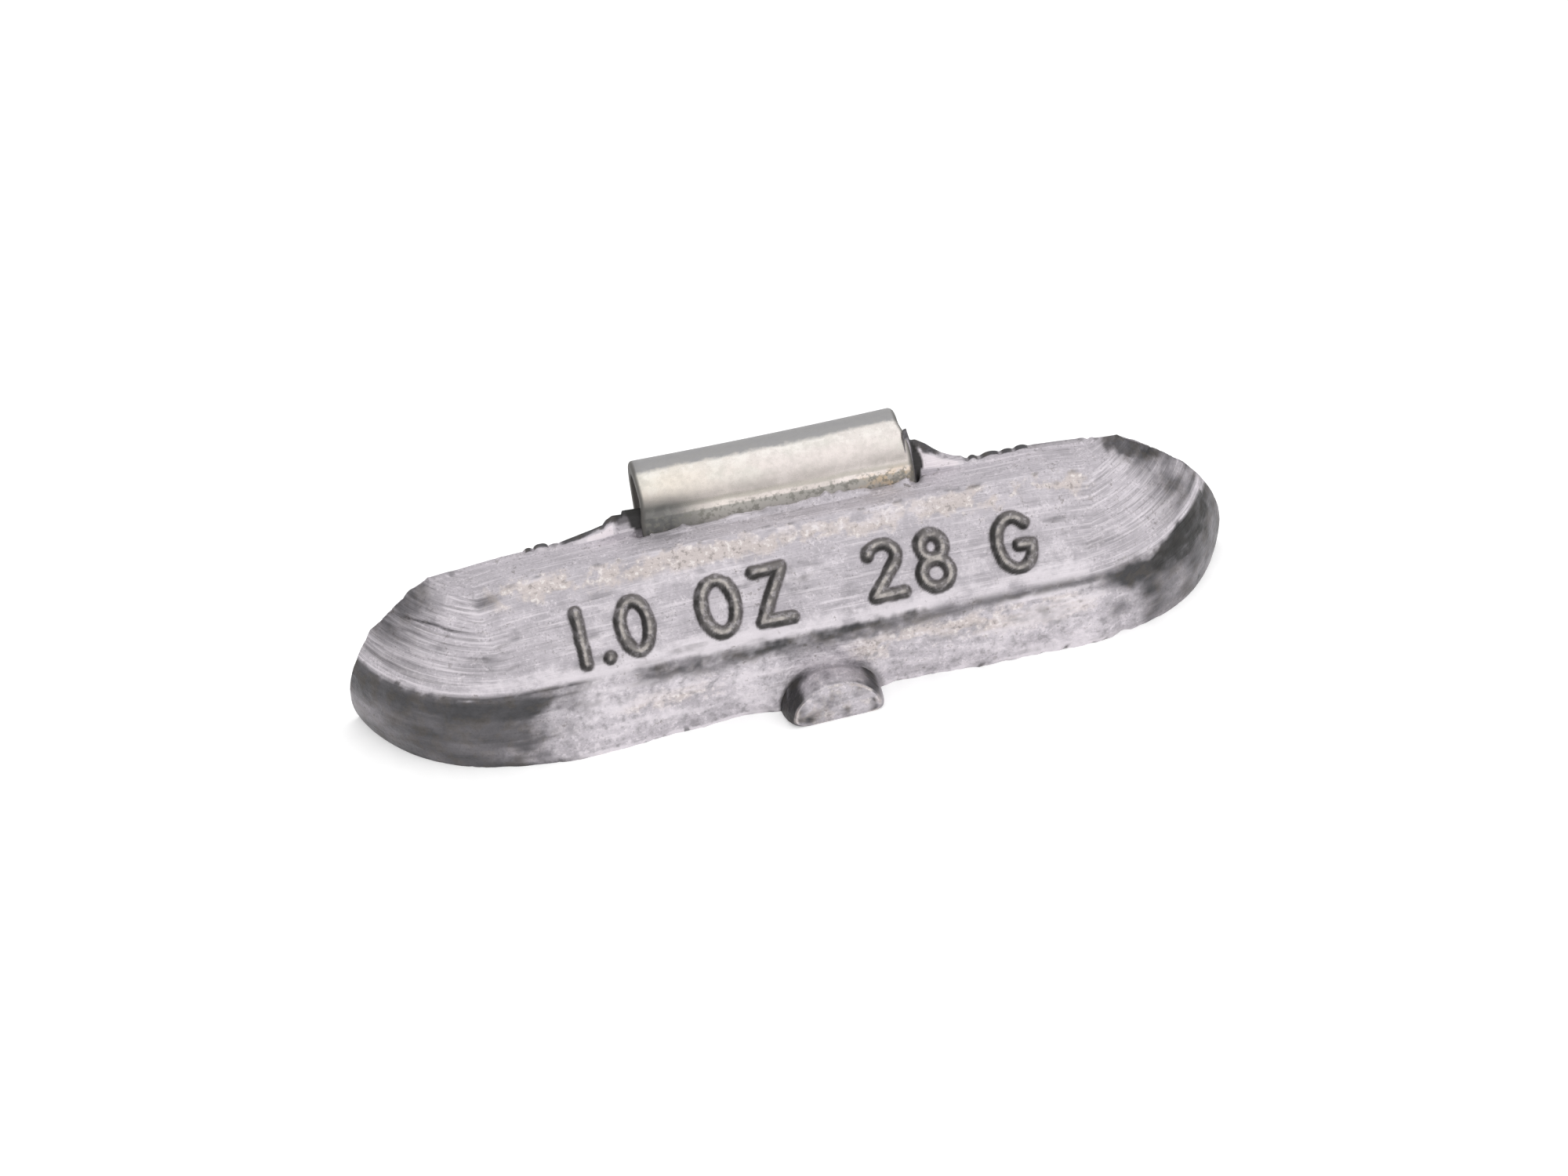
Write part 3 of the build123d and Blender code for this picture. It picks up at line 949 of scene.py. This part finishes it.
# %% [markdown]
# ## The spring clip
# The clip is one strip of spring steel: a leg that follows the rim seat, a short neck, a half-round hook
# over the edge of the rim, a tail and a small lip that lets it slide on. A bevelled curve would give it
# the same edge all round, so the strip is swept in code, with one side of its edge rolled over
# by the shears and the other left sharper.

# %% Line of the strip
def strip_run(start, heading, length, curvature, steps):
    """Points and headings along a straight or evenly bent run of strip."""
    place = np.linspace(0, length, steps + 1)
    headings = heading + curvature * place
    if curvature:
        y = start[0] + (np.sin(headings) - math.sin(heading)) / curvature
        z = start[1] - (np.cos(headings) - math.cos(heading)) / curvature
    else:
        y = start[0] + place * math.cos(heading)
        z = start[1] + place * math.sin(heading)
    return np.stack([y, z], axis=1), headings


neck_length = 1.0
hook_radius = 1.55
tail_length = 3.2
lip_radius = 2.0
lip_turn = math.radians(35)
foot_angle = math.asin((leg_foot_z - seat_axis_z) / seat_radius)
leg_turn = seat_lean - foot_angle
place = (seat_y(np.array(leg_foot_z)), leg_foot_z)
heading = math.pi / 2 - foot_angle
strip_points, strip_headings = [], []
for length, curvature, steps in (
    (seat_radius * leg_turn, -1 / seat_radius, 26), (neck_length, 0, 6),
    (math.pi * hook_radius, -1 / hook_radius, 48), (tail_length, 0, 14),
    (lip_radius * lip_turn, 1 / lip_radius, 18),
):
    run, headings = strip_run(place, heading, length, curvature, steps)
    strip_points.append(run[1:] if strip_points else run)
    strip_headings.append(headings[1:] if strip_headings else headings)
    place, heading = run[-1], headings[-1]
strip_points, strip_headings = np.concatenate(strip_points), np.concatenate(strip_headings)
strip_place = running_length(strip_points[None], 1)[0]
print(f"strip {strip_place[-1]:.1f} mm long, {len(strip_place)} stations")

# %% [markdown]
# The section of the strip is a loop: outer face, rolled edge, inner face, rolled edge. At the tail the
# corners are rounded off, so the loop narrows over the last millimetre. The hook was bent slightly
# askew, so it leans a little to the left above the lead. A stored value, edge, says where the steel is
# dull and dark: on the sheared edges, and almost as much on the inner face, where it is painted shade.

# %% Section of the strip
left_roll, right_roll = 0.24, 0.36
inner_roll = 0.10
tail_corner = 1.0
face_points = 41
quarter = np.radians(np.linspace(0, 90, 7))


def edge_line(half_width, roll):
    """One sheared edge, from the outer face round to the inner face."""
    outer_x = half_width - roll + roll * np.sin(quarter)
    outer_depth = strip_thickness - roll + roll * np.cos(quarter)
    inner_x = half_width - inner_roll + inner_roll * np.cos(quarter)
    inner_depth = inner_roll - inner_roll * np.sin(quarter)
    return np.concatenate([outer_x, inner_x]), np.concatenate([outer_depth, inner_depth])


def section_loop(half_width):
    """Places across the strip and through its thickness, once round the section."""
    right_x, right_depth = edge_line(half_width, right_roll)
    left_x, left_depth = edge_line(half_width, left_roll)
    outer = np.linspace(-left_x[0], right_x[0], face_points)[1:-1]
    inner = np.linspace(right_x[-1], -left_x[-1], face_points)[1:-1]
    x = np.concatenate([outer, right_x, inner, -left_x[::-1]])
    outer_face = np.full(len(outer), strip_thickness)
    depth = np.concatenate([outer_face, right_depth, np.zeros(len(inner)), left_depth[::-1]])
    return x, depth


# %% Sweep the strip
to_tail = strip_place[-1] - strip_place
corner_left = np.clip(tail_corner - to_tail, 0, tail_corner)
tail_narrowing = tail_corner - np.sqrt(tail_corner**2 - corner_left**2)
loop_x, loop_depth = section_loop(strip_half_width)
loop_x = loop_x[None] * (1 - tail_narrowing / strip_half_width)[:, None]
outward = np.stack([-np.sin(strip_headings), np.cos(strip_headings)], axis=1)
loop_y = strip_points[:, :1] + outward[:, :1] * loop_depth
loop_z = strip_points[:, 1:] + outward[:, 1:] * loop_depth
hook_skew = -0.12
hook_dip = 0.10
above_lead = strip_place[:, None] - seat_radius * leg_turn
right_spread, left_spread = 1 - fade(above_lead, 1.9, 2.9), 1 - fade(above_lead, 0.3, 1.8)
neck_spread = np.where(loop_x > 0, 0.25 * right_spread, 0.22 * left_spread)
loop_x = loop_x * (1 + neck_spread / strip_half_width)
loop_x = loop_x + strip_middle + hook_skew * fade(above_lead, 0.0, 3.0)
across_share = (loop_x - strip_middle) / strip_half_width
loop_z = loop_z - hook_dip * fade(above_lead, 1.0, 3.0) * (1 - across_share**2)
loop_z = np.clip(loop_z, None, clip_high[2])
loop_y = np.clip(loop_y, None, clip_high[1])
strip_grid = np.stack([loop_x, loop_y, loop_z], axis=2)
print(f"hook up to z = {loop_z.max():.2f} mm, tail out to y = {loop_y.max():.2f} mm")

# %% Make the clip object
stations, loop_size = strip_grid.shape[:2]
strip_numbers = np.arange(stations * loop_size).reshape(stations, loop_size)
strip_faces = grid_faces(np.concatenate([strip_numbers, strip_numbers[:, :1]], axis=1))
strip_faces = [face[::-1] for face in strip_faces]
strip_faces += [tuple(strip_numbers[0]), tuple(strip_numbers[-1][::-1])]
# The inner face is painted almost as dark as the sheared edges: painted shade inside the hook.
inner_shade_strength = 0.9
flat_x, flat_depth = section_loop(strip_half_width)
sheared = fade(np.abs(flat_x), strip_half_width - 0.30, strip_half_width - 0.08)
inner_face_shade = np.where(flat_depth < strip_thickness / 2, inner_shade_strength, 0)
clip_fields = {
    name: np.broadcast_to(values, (stations, loop_size)).ravel()
    for name, values in (
        ("run_along", loop_x), ("run_up", strip_place[:, None]),
        ("above_lead", above_lead), ("edge", np.maximum(sheared, inner_face_shade)),
    )
}
clip_crease = 50
clip = make_piece("folded_clip", flat(strip_grid), strip_faces, clip_fields, clip_crease)
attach(clip, "root")
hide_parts("spring_clip")

# %% [markdown]
# The two anchor holes in the leg are punched, so a Boolean with two short cylinders cuts them. It is
# applied at once and the cutter is deleted.

# %% Punch the anchor holes
punch_from, punch_to = 1.0, 4.5
cutter_crease = 30
ring = np.radians(np.arange(0, 360, 7.5))
cutter_points, cutter_faces = [], []
for side in (-1, 1):
    ring_x = strip_middle + side * anchor_half_spacing + anchor_radius * np.cos(ring)
    ring_z = anchor_z + anchor_radius * np.sin(ring)
    near = len(cutter_points) + np.arange(len(ring))
    far = near + len(ring)
    cutter_points += [(x, y, z) for y in (punch_from, punch_to) for x, z in zip(ring_x, ring_z)]
    cutter_faces += [tuple(near[::-1]), tuple(far)]
    cutter_faces += [(near[i - 1], near[i], far[i], far[i - 1]) for i in range(len(ring))]
cutter = make_piece("punch", np.array(cutter_points), cutter_faces, {}, cutter_crease)
punch = clip.modifiers.new("punch", "BOOLEAN")
punch.operation, punch.object, punch.solver = "DIFFERENCE", cutter, "EXACT"
bpy.context.view_layer.objects.active = clip
with bpy.context.temp_override(object=clip, active_object=clip, selected_objects=[clip]):
    bpy.ops.object.modifier_apply(modifier="punch")
bpy.data.objects.remove(cutter)
clip.data.set_sharp_from_angle(angle=math.radians(clip_crease))
print(f"clip after punching: {len(clip.data.polygons)} faces")

# %% [markdown]
# ## Tools for the finishes
# Both finishes are node materials. A few helpers keep the node code short, and two effects that lead and
# steel share, specks of dirt and hairlines, are node groups with named sockets.

# %% Node helpers
class Nodes:
    """A node tree, called n below, with a short call for each kind of node that the finishes need."""

    def __init__(self, tree):
        self.tree = tree

    def put(self, kind, inputs=None, **settings):
        """Adds a node, sets it up, fills each named input with a value or a link, and gives its outputs."""
        made = self.tree.nodes.new(kind)
        for name, value in settings.items():
            setattr(made, name, value)
        for name, value in (inputs or {}).items():
            if isinstance(value, bpy.types.NodeSocket):
                self.tree.links.new(value, made.inputs[name])
            else:
                made.inputs[name].default_value = value
        return made.outputs

    def noise(self, vector, scale, detail=4.0, roughness=0.55):
        inputs = {"Vector": vector, "Scale": scale, "Detail": detail, "Roughness": roughness}
        return self.put("ShaderNodeTexNoise", inputs)["Fac"]

    def step(self, value, low, high, to_low=0.0, to_high=1.0):
        inputs = {"Value": value, "From Min": low, "From Max": high, "To Min": to_low, "To Max": to_high}
        return self.put("ShaderNodeMapRange", inputs, interpolation_type="SMOOTHSTEP")["Result"]

    def maths(self, operation, total, *values):
        """The same operation with one value after another."""
        for value in values:
            total = self.put("ShaderNodeMath", {0: total, 1: value}, operation=operation)[0]
        return total

    def times(self, *values):
        return self.maths("MULTIPLY", *values)

    def plus(self, *values):
        return self.maths("ADD", *values)

    def swing(self, value, strength):
        """A noise, moved so that it goes as far below 0 as above."""
        return self.times(self.maths("SUBTRACT", value, 0.5), strength)

    def layers(self, colour, *coats):
        """A colour with others laid over it in turn, each by its own share."""
        for share, over in coats:
            colour = self.put("ShaderNodeMix", {0: share, 6: colour, 7: over}, data_type="RGBA")[2]
        return colour

    def stored(self, *names):
        return [self.put("ShaderNodeAttribute", attribute_name=name)["Fac"] for name in names]

    def here(self):
        return self.put("ShaderNodeTexCoord")["Object"]


# %% [markdown]
# Specks are small dark grains that sit in pores. Hairlines are long fine lines that run the way the
# metal was drawn, cut or rubbed: a noise stretched along one stored coordinate of the skin.

# %% Shared node groups
def new_group(name, output, **inputs):
    """A group with one output. An input without a value is a vector."""
    group = bpy.data.node_groups.new(name, "ShaderNodeTree")
    for socket, value in inputs.items():
        kind = "NodeSocketVector" if value is None else "NodeSocketFloat"
        made = group.interface.new_socket(socket, in_out="INPUT", socket_type=kind)
        if value is not None:
            made.default_value = value
    group.interface.new_socket(output, in_out="OUTPUT", socket_type="NodeSocketFloat")
    n = Nodes(group)
    return n, n.put("NodeGroupInput")


def specks_group():
    n, given = new_group("dirt specks", "Mask", Vector=None, Scale=2000.0, Coverage=0.3)
    grain = n.noise(given["Vector"], given["Scale"], 3.0, 0.6)
    low = n.maths("SUBTRACT", 0.72, given["Coverage"])
    n.put("NodeGroupOutput", {"Mask": n.step(grain, low, n.plus(low, 0.12))})
    return n.tree


def hairlines_group():
    n, given = new_group("hairlines", "Height", Along=0.0, Up=0.0, Length=6.0, Lines=8.0)
    along = n.maths("DIVIDE", given["Along"], given["Length"])
    place = n.put("ShaderNodeCombineXYZ", {0: along, 1: n.times(given["Up"], given["Lines"])})[0]
    n.put("NodeGroupOutput", {"Height": n.noise(place, 1.0, 3.0, 0.6)})
    return n.tree


dirt_specks = specks_group()
hairlines = hairlines_group()
print("node groups:", ", ".join(group.name for group in (dirt_specks, hairlines)))


def specks(n, here, scale, coverage):
    inputs = {"Vector": here, "Scale": scale, "Coverage": coverage}
    return n.put("ShaderNodeGroup", inputs, node_tree=dirt_specks)["Mask"]


def lines(n, along, up, length, count):
    inputs = {"Along": along, "Up": up, "Length": length, "Lines": count}
    return n.put("ShaderNodeGroup", inputs, node_tree=hairlines)["Height"]


# %% [markdown]
# Both metals end alike: a fine bump for the grain of the skin, one shader and the material's output.
# Written out twice the two could drift apart, so one function does it.

# %% Start and end of a material
def new_material(name):
    material = bpy.data.materials.new(name)
    material.use_nodes = True
    material.node_tree.nodes.clear()
    return material, Nodes(material.node_tree)


def metal(n, inputs, height, bump_strength, bump_depth):
    """The shader of a metal with a finely bumped skin."""
    bump = {"Height": height, "Strength": bump_strength, "Distance": bump_depth}
    inputs["Normal"] = n.put("ShaderNodeBump", bump)["Normal"]
    shader = n.put("ShaderNodeBsdfPrincipled", inputs)["BSDF"]
    n.put("ShaderNodeOutputMaterial", {"Surface": shader})


# %% [markdown]
# ## Cast lead
# Fresh lead is bright, but it dulls within days to a soft lavender grey. It is a rough metal, so it shows
# no clear reflections, only a broad sheen. The stored masks say where grime, painted shade and painted
# reflections, bloom and figures lie, and the nodes break their edges up with grain, with painted glints
# in the finest of it.

# %% Colours of the lead
DULL_LEAD = (0.445, 0.416, 0.448, 1)
BRIGHT_LEAD = (0.620, 0.580, 0.620, 1)
CALM_LEAD = (0.550, 0.515, 0.552, 1)
PALE_LEAD = (0.820, 0.770, 0.810, 1)
BROKEN_LEAD = (0.960, 0.890, 0.925, 1)
SCRATCH_SHADE = (0.240, 0.225, 0.235, 1)
TAN_BLOOM = (0.650, 0.575, 0.545, 1)
SPARKLE = (0.880, 0.830, 0.810, 1)
DIRT = (0.170, 0.150, 0.138, 1)
CHARCOAL = (0.052, 0.051, 0.055, 1)
DARK_BROWN = (0.078, 0.071, 0.067, 1)
DEEP_SHADE = (0.026, 0.025, 0.024, 1)
# Figure bodies are darker than the lead, partly grime and partly painted shade; their crests get a painted
# highlight.
FIGURE_BODY = (0.172, 0.159, 0.154, 1)
FIGURE_CREST_HIGHLIGHT = (0.500, 0.462, 0.436, 1)


# %% Mottled lead
def mottled_lead(n, here, calm):
    """Lead that dulled unevenly: clouds, blotches and grain, from millimetres to a fifth of one, with
    painted glints in the finest grain.
    """
    cloud, blotch = n.noise(here, 420.0, 3.0, 0.6), n.noise(here, 1300.0, 3.0, 0.55)
    grain, fine = n.noise(here, 3200.0, 3.0, 0.6), n.noise(here, 7000.0, 3.0, 0.65)
    mottle = n.plus(n.times(cloud, 0.50), n.times(blotch, 0.42), n.times(grain, 0.08))
    lively = n.step(n.plus(blotch, grain), 0.85, 1.20, 0.15, 0.75)
    colour = n.layers(
        DULL_LEAD,
        (n.step(mottle, 0.34, 0.64), BRIGHT_LEAD),
        (n.times(calm, 0.65), CALM_LEAD),
        # The brightest fine grains are painted glints; the darkest are pits.
        (n.times(lively, n.step(fine, 0.54, 0.66)), PALE_LEAD),
        (n.times(lively, n.step(fine, 0.45, 0.33)), SCRATCH_SHADE),
    )
    return colour, cloud, blotch, grain


# %% Cast lead material
def cast_lead():
    material, n = new_material("cast_lead")
    here = n.here()
    along, up, calm, scored, grained = n.stored("run_along", "run_up", "calm", "scored", "grained")
    bloom, pale, grime_and_painted_shade, stroke, shade = n.stored("bloom", "pale", "grime_and_painted_shade", "stroke", "shade")
    colour, cloud, blotch, grain = mottled_lead(n, here, calm)

    flow, scratch = lines(n, along, up, 5.0, 3.2), lines(n, along, up, 2.2, 15.0)
    score = lines(n, along, up, 9.0, 6.0)
    lined = n.step(grained, 0.0, 1.0, 1.0, 0.35)
    crust = n.plus(n.times(blotch, 0.55), n.times(grain, 0.45))
    for value, low, high, share, strength, over in (
        (flow, 0.54, 0.68, lined, 0.55, PALE_LEAD), (flow, 0.42, 0.30, lined, 0.30, SCRATCH_SHADE),
        (scratch, 0.57, 0.70, lined, 0.32, SCRATCH_SHADE), (scratch, 0.44, 0.33, lined, 0.35, PALE_LEAD),
        (crust, 0.53, 0.63, grained, 0.65, PALE_LEAD), (crust, 0.47, 0.37, grained, 0.50, SCRATCH_SHADE),
        (score, 0.52, 0.66, scored, 0.55, SCRATCH_SHADE), (score, 0.47, 0.36, scored, 0.65, PALE_LEAD),
    ):
        mark = n.step(value, low, high, 0.0, strength)
        colour = n.layers(colour, (n.times(share, mark), over))

    broken = n.plus(n.swing(grain, 0.8), n.swing(blotch, 1.3))
    oxide = n.step(n.plus(bloom, broken), 0.25, 0.85)
    rubbed_and_highlight = n.plus(pale, broken)
    speck_share = n.step(cloud, 0.45, 0.65, 0.05, 0.65)
    streak = n.swing(scratch, n.times(lined, 0.5))
    uneven = n.times(n.plus(broken, streak), grime_and_painted_shade, 0.26)
    soot_and_painted_shade = n.layers(CHARCOAL, (n.step(blotch, 0.45, 0.62), DARK_BROWN))
    speckle, crest_highlight = n.step(grain, 0.48, 0.62, 0.96, 0.60), n.step(grain, 0.40, 0.60, 0.55, 1.0)
    colour = n.layers(
        colour,
        (n.times(oxide, 0.75), TAN_BLOOM),
        (n.times(oxide, n.step(grain, 0.55, 0.66, 0.0, 0.75)), SPARKLE),
        (n.times(oxide, n.step(grain, 0.44, 0.34, 0.0, 0.50)), DIRT),
        # Rubbed places, and the painted highlight at the left corner of the deck.
        (n.step(rubbed_and_highlight, 0.05, 1.0, 0.0, 0.80), PALE_LEAD),
        (n.step(rubbed_and_highlight, 1.3, 1.8), BROKEN_LEAD),
        (n.times(specks(n, here, 2600.0, 0.13), speck_share), DIRT),
        # Grime, and the painted dark reflections and shade that share its mask.
        (n.step(n.plus(grime_and_painted_shade, uneven), 0.02, 1.0), soot_and_painted_shade),
        (n.times(n.step(stroke, 0.0, 1.0), speckle), FIGURE_BODY),
        # Painted highlight along the crest of the figures.
        (n.times(n.step(stroke, 1.1, 1.9), crest_highlight), FIGURE_CREST_HIGHLIGHT),
        # Painted shade on the figures' flanks, in the crevices, on the gate stub and at the right end.
        (shade, DEEP_SHADE),
    )
    height = n.plus(
        n.times(flow, 0.5), n.times(grain, 0.22), n.times(scratch, n.times(lined, 0.40)),
        n.times(crust, grained), n.times(blotch, 0.60), n.times(score, scored, 0.9),
    )
    roughness = n.step(blotch, 0.3, 0.7, 0.36, 0.56)
    metal(n, {"Base Color": colour, "Roughness": roughness, "Metallic": 0.55}, height, 0.55, 0.00012)
    return material


casting.data.materials.append(cast_lead())
print(f"cast lead: {len(casting.data.materials[0].node_tree.nodes)} nodes")

# %% [markdown]
# ## Plated steel
# The clip is plated with zinc and passivated, which leaves a pale cream metal with a faint rainbow. It
# is smooth along the hook and dull where it was close to the hot lead, with grains of oxide there. The
# grey upper edge of the hook and a dark line at the neck are painted reflections, the band under the
# grey edge is a painted highlight, and the inner face gets painted shade.

# %% Colours of the plate
CREAM_PLATE = (0.900, 0.825, 0.730, 1)
PINK_PLATE = (0.880, 0.805, 0.772, 1)
GREEN_PLATE = (0.830, 0.810, 0.745, 1)
GREY_REFLECTION = (0.300, 0.296, 0.304, 1)
DULL_PLATE = (0.400, 0.392, 0.362, 1)
DARK_REFLECTION_LINE = (0.450, 0.420, 0.370, 1)
PLATE_HIGHLIGHT = (0.970, 0.938, 0.890, 1)
WARM_PLATE = (0.680, 0.612, 0.580, 1)
AMBER = (0.760, 0.560, 0.340, 1)
EDGE_AND_INNER_SHADE = (0.135, 0.130, 0.122, 1)
FOOT_SMUDGE = (0.110, 0.112, 0.112, 1)
PLATE_SPECK = (0.220, 0.215, 0.190, 1)


# %% Plated steel material
def plated_steel():
    material, n = new_material("plated_spring_steel")
    here = n.here()
    along, up, rise, edge = n.stored("run_along", "run_up", "above_lead", "edge")
    cloud, blotch = n.noise(here, 300.0, 4.0, 0.6), n.noise(here, 1700.0, 4.0, 0.6)
    fine, drawn = n.noise(here, 5200.0, 3.0, 0.6), lines(n, along, up, 9.0, 4.5)

    wave = n.swing(cloud, 0.22)
    wavy_rise = n.plus(rise, wave, n.times(along, 0.018))
    ragged_rise = n.plus(rise, n.swing(blotch, 0.45))
    dull = n.step(wavy_rise, 0.62, 0.76, 1.0, 0.0)
    # A painted highlight just under the grey band, fading out along the tail.
    highlight_share = n.times(n.step(blotch, 0.40, 0.60, 0.35, 0.75), n.step(rise, 4.4, 5.2, 1.0, 0.0))
    warm_cloud = n.step(cloud, 0.42, 0.60, 0.35, 0.95)
    left_foot = n.times(n.step(along, -3.0, -6.4), n.step(wavy_rise, 1.9, 1.0))
    # The grey band along the top of the hook is a painted reflection of the dim sky behind.
    grey_reflection_band = n.times(n.step(n.plus(ragged_rise, wave), 2.72, 2.99), n.step(ragged_rise, 4.7, 5.3, 1.0, 0.0))
    right_end = n.times(n.step(along, 4.0, 7.0), n.step(rise, 1.1, 0.5))
    speck_share = n.step(rise, 0.6, 1.1, 0.75, 0.08)
    colour = n.layers(
        CREAM_PLATE,
        (n.step(along, -7.0, 1.0), PINK_PLATE),
        (n.step(cloud, 0.50, 0.66, 0.0, 0.55), GREEN_PLATE),
        (n.times(n.step(wavy_rise, 2.1, 2.75), highlight_share), PLATE_HIGHLIGHT),
        (n.times(n.step(rise, 4.4, 5.6), n.step(cloud, 0.35, 0.65, 0.30, 0.75)), WARM_PLATE),
        # Warmer and darker lower down the hook.
        (n.times(n.step(wavy_rise, 2.2, 1.1), warm_cloud), WARM_PLATE),
        # A painted dark reflection line where the neck turns into the hook.
        (n.times(n.step(wavy_rise, 0.94, 1.08), n.step(wavy_rise, 1.32, 1.14), 0.75), DARK_REFLECTION_LINE),
        (n.times(dull, 0.80), DULL_PLATE),
        (n.times(left_foot, 0.92), FOOT_SMUDGE),
        # Painted grey reflection along the upper edge of the hook.
        (n.times(grey_reflection_band, 0.94), GREY_REFLECTION),
        (n.times(right_end, n.step(blotch, 0.4, 0.6, 0.1, 0.6)), AMBER),
        (n.times(specks(n, here, 3000.0, 0.24), speck_share), PLATE_SPECK),
        (n.step(blotch, 0.40, 0.60, 0.16, 0.0), DULL_PLATE),
        # Dark sheared edges, and painted shade on the inner face.
        (n.times(edge, 0.95), EDGE_AND_INNER_SHADE),
    )
    matt = n.maths("MAXIMUM", edge, n.times(grey_reflection_band, 0.8))
    roughness = n.plus(n.step(dull, 0.0, 1.0, 0.22, 0.38), n.times(blotch, 0.10), n.times(matt, 0.3))
    height = n.plus(n.times(drawn, 0.35), n.times(fine, 0.30), n.times(blotch, 0.45))
    inputs = {"Base Color": colour, "Roughness": roughness, "Specular IOR Level": 0.1}
    inputs["Metallic"] = n.step(matt, 0.0, 1.0, 1.0, 0.05)
    metal(n, inputs, height, 0.22, 0.00005)
    return material


clip.data.materials.append(plated_steel())
print("finishes:", ", ".join(material.name for material in bpy.data.materials))

# %% [markdown]
# ## Floor, light and camera
# The weight stands on white paper. For the camera and for reflections the paper glows a little, so that
# it reads as white, and it keeps the soft shadow. The sky of the studio is bright above and in front,
# and dimmer low behind the weight, which darkens the reflection on the hook's upper edge; the plate's
# material paints that grey edge as well.

# %% White paper
PAPER_DIP = (0.80, 0.80, 0.80, 1)
PAPER_FIBRE = (0.83, 0.83, 0.83, 1)
WHITE = (1, 1, 1, 1)
paper_glow = 0.3


def paper():
    material, n = new_material("white_paper")
    sees = n.put("ShaderNodeLightPath")
    seen = n.maths("MAXIMUM", sees["Is Camera Ray"], sees["Is Glossy Ray"], sees["Is Transmission Ray"])
    fibre = n.step(n.noise(n.here(), 900.0), 0.3, 0.7)
    matt = n.put("ShaderNodeBsdfDiffuse", {"Color": n.layers(PAPER_DIP, (fibre, PAPER_FIBRE))})[0]
    glow = n.put("ShaderNodeEmission", {"Color": WHITE, "Strength": n.times(seen, paper_glow)})[0]
    both = n.put("ShaderNodeAddShader", {0: matt, 1: glow})[0]
    n.put("ShaderNodeOutputMaterial", {"Surface": both})
    return material


floor_half = 1.5
floor_z = -0.01 * MM
floor_mesh = bpy.data.meshes.new("paper")
corner_signs = [(-1, -1), (1, -1), (1, 1), (-1, 1)]
corners = [(floor_half * x, floor_half * y, floor_z) for x, y in corner_signs]
floor_mesh.from_pydata(corners, [], [(0, 1, 2, 3)])
floor_mesh.materials.append(paper())
floor = bpy.data.objects.new("paper", floor_mesh)
bpy.context.collection.objects.link(floor)
print(f"paper {2 * floor_half:.0f} m wide")

# %% Studio sky
SKY_SIDE = (0.74, 0.74, 0.74, 1)
SKY_TOP = (1.04, 1.04, 1.04, 1)
SKY_BEHIND = (0.46, 0.46, 0.465, 1)
scene = bpy.context.scene
scene.view_settings.view_transform = "Standard"
world = bpy.data.worlds.new("studio")
world.use_nodes = True
world.node_tree.nodes.clear()
sky = Nodes(world.node_tree)
parts = sky.put("ShaderNodeSeparateXYZ", {0: sky.put("ShaderNodeTexCoord")["Generated"]})
low_behind = sky.maths("SUBTRACT", parts["Y"], parts["Z"])
overhead, dim = sky.step(parts["Z"], 0.15, 0.95), sky.step(low_behind, 0.00, 0.12)
sky_colour = sky.layers(SKY_SIDE, (overhead, SKY_TOP), (dim, SKY_BEHIND))
background = sky.put("ShaderNodeBackground", {"Color": sky_colour, "Strength": 1.0})[0]
sky.put("ShaderNodeOutputWorld", {"Surface": background})
scene.world = world
print(f"sky: {len(world.node_tree.nodes)} nodes")

# %% Softbox
lamp_aim = Vector((0, 0, 5)) * MM


def softbox(name, place, size, power):
    lamp = bpy.data.lights.new(name, "AREA")
    lamp.shape, lamp.size, lamp.energy = "DISK", size, power
    made = bpy.data.objects.new(name, lamp)
    made.location = place
    made.rotation_mode = "QUATERNION"
    made.rotation_quaternion = (lamp_aim - Vector(place)).to_track_quat("-Z", "Y")
    made.visible_glossy = False
    bpy.context.collection.objects.link(made)


softbox("key", (0.34, -0.06, 0.50), 1.00, 1.9)
print("lamps:", ", ".join(lamp.name for lamp in bpy.data.lights))

# %% [markdown]
# The camera stands about a metre away with a long lens, a little to the left and well above, and it is
# turned slightly about its own axis, as the photograph shows. The place in the picture of a known
# point of the weight fixes where the camera aims.

# %% Camera
view_azimuth = math.radians(-6.89)
view_elevation = math.radians(40.6)
view_roll = math.radians(-7.24)
pixels_per_mm = 21.90
picture_width, picture_height = 2000, 1500
known_point = Vector((0, 0, 5)) * MM
known_pixel = (1010.6, 767.0)
view_distance = 1.1

level_right = Vector((math.cos(view_azimuth), math.sin(view_azimuth), 0))
toward_camera = Vector((
    math.sin(view_azimuth) * math.cos(view_elevation),
    -math.cos(view_azimuth) * math.cos(view_elevation),
    math.sin(view_elevation),
))
level_up = toward_camera.cross(level_right)
right = math.cos(view_roll) * level_right + math.sin(view_roll) * level_up
upward = -math.sin(view_roll) * level_right + math.cos(view_roll) * level_up
right_of_point = (picture_width / 2 - known_pixel[0]) / pixels_per_mm * MM
above_point = (known_pixel[1] - picture_height / 2) / pixels_per_mm * MM
aim = known_point + right_of_point * right + above_point * upward

lens = bpy.data.cameras.new("camera")
lens.sensor_width = 36
lens.lens = lens.sensor_width * view_distance / (picture_width / pixels_per_mm * MM)
lens.clip_start, lens.clip_end = 0.05, 10
camera = bpy.data.objects.new("camera", lens)
axes = Matrix((right, upward, toward_camera)).transposed().to_4x4()
axes.translation = aim + view_distance * toward_camera
camera.matrix_world = axes
bpy.context.collection.objects.link(camera)
scene.camera = camera
print(f"lens {lens.lens:.0f} mm")
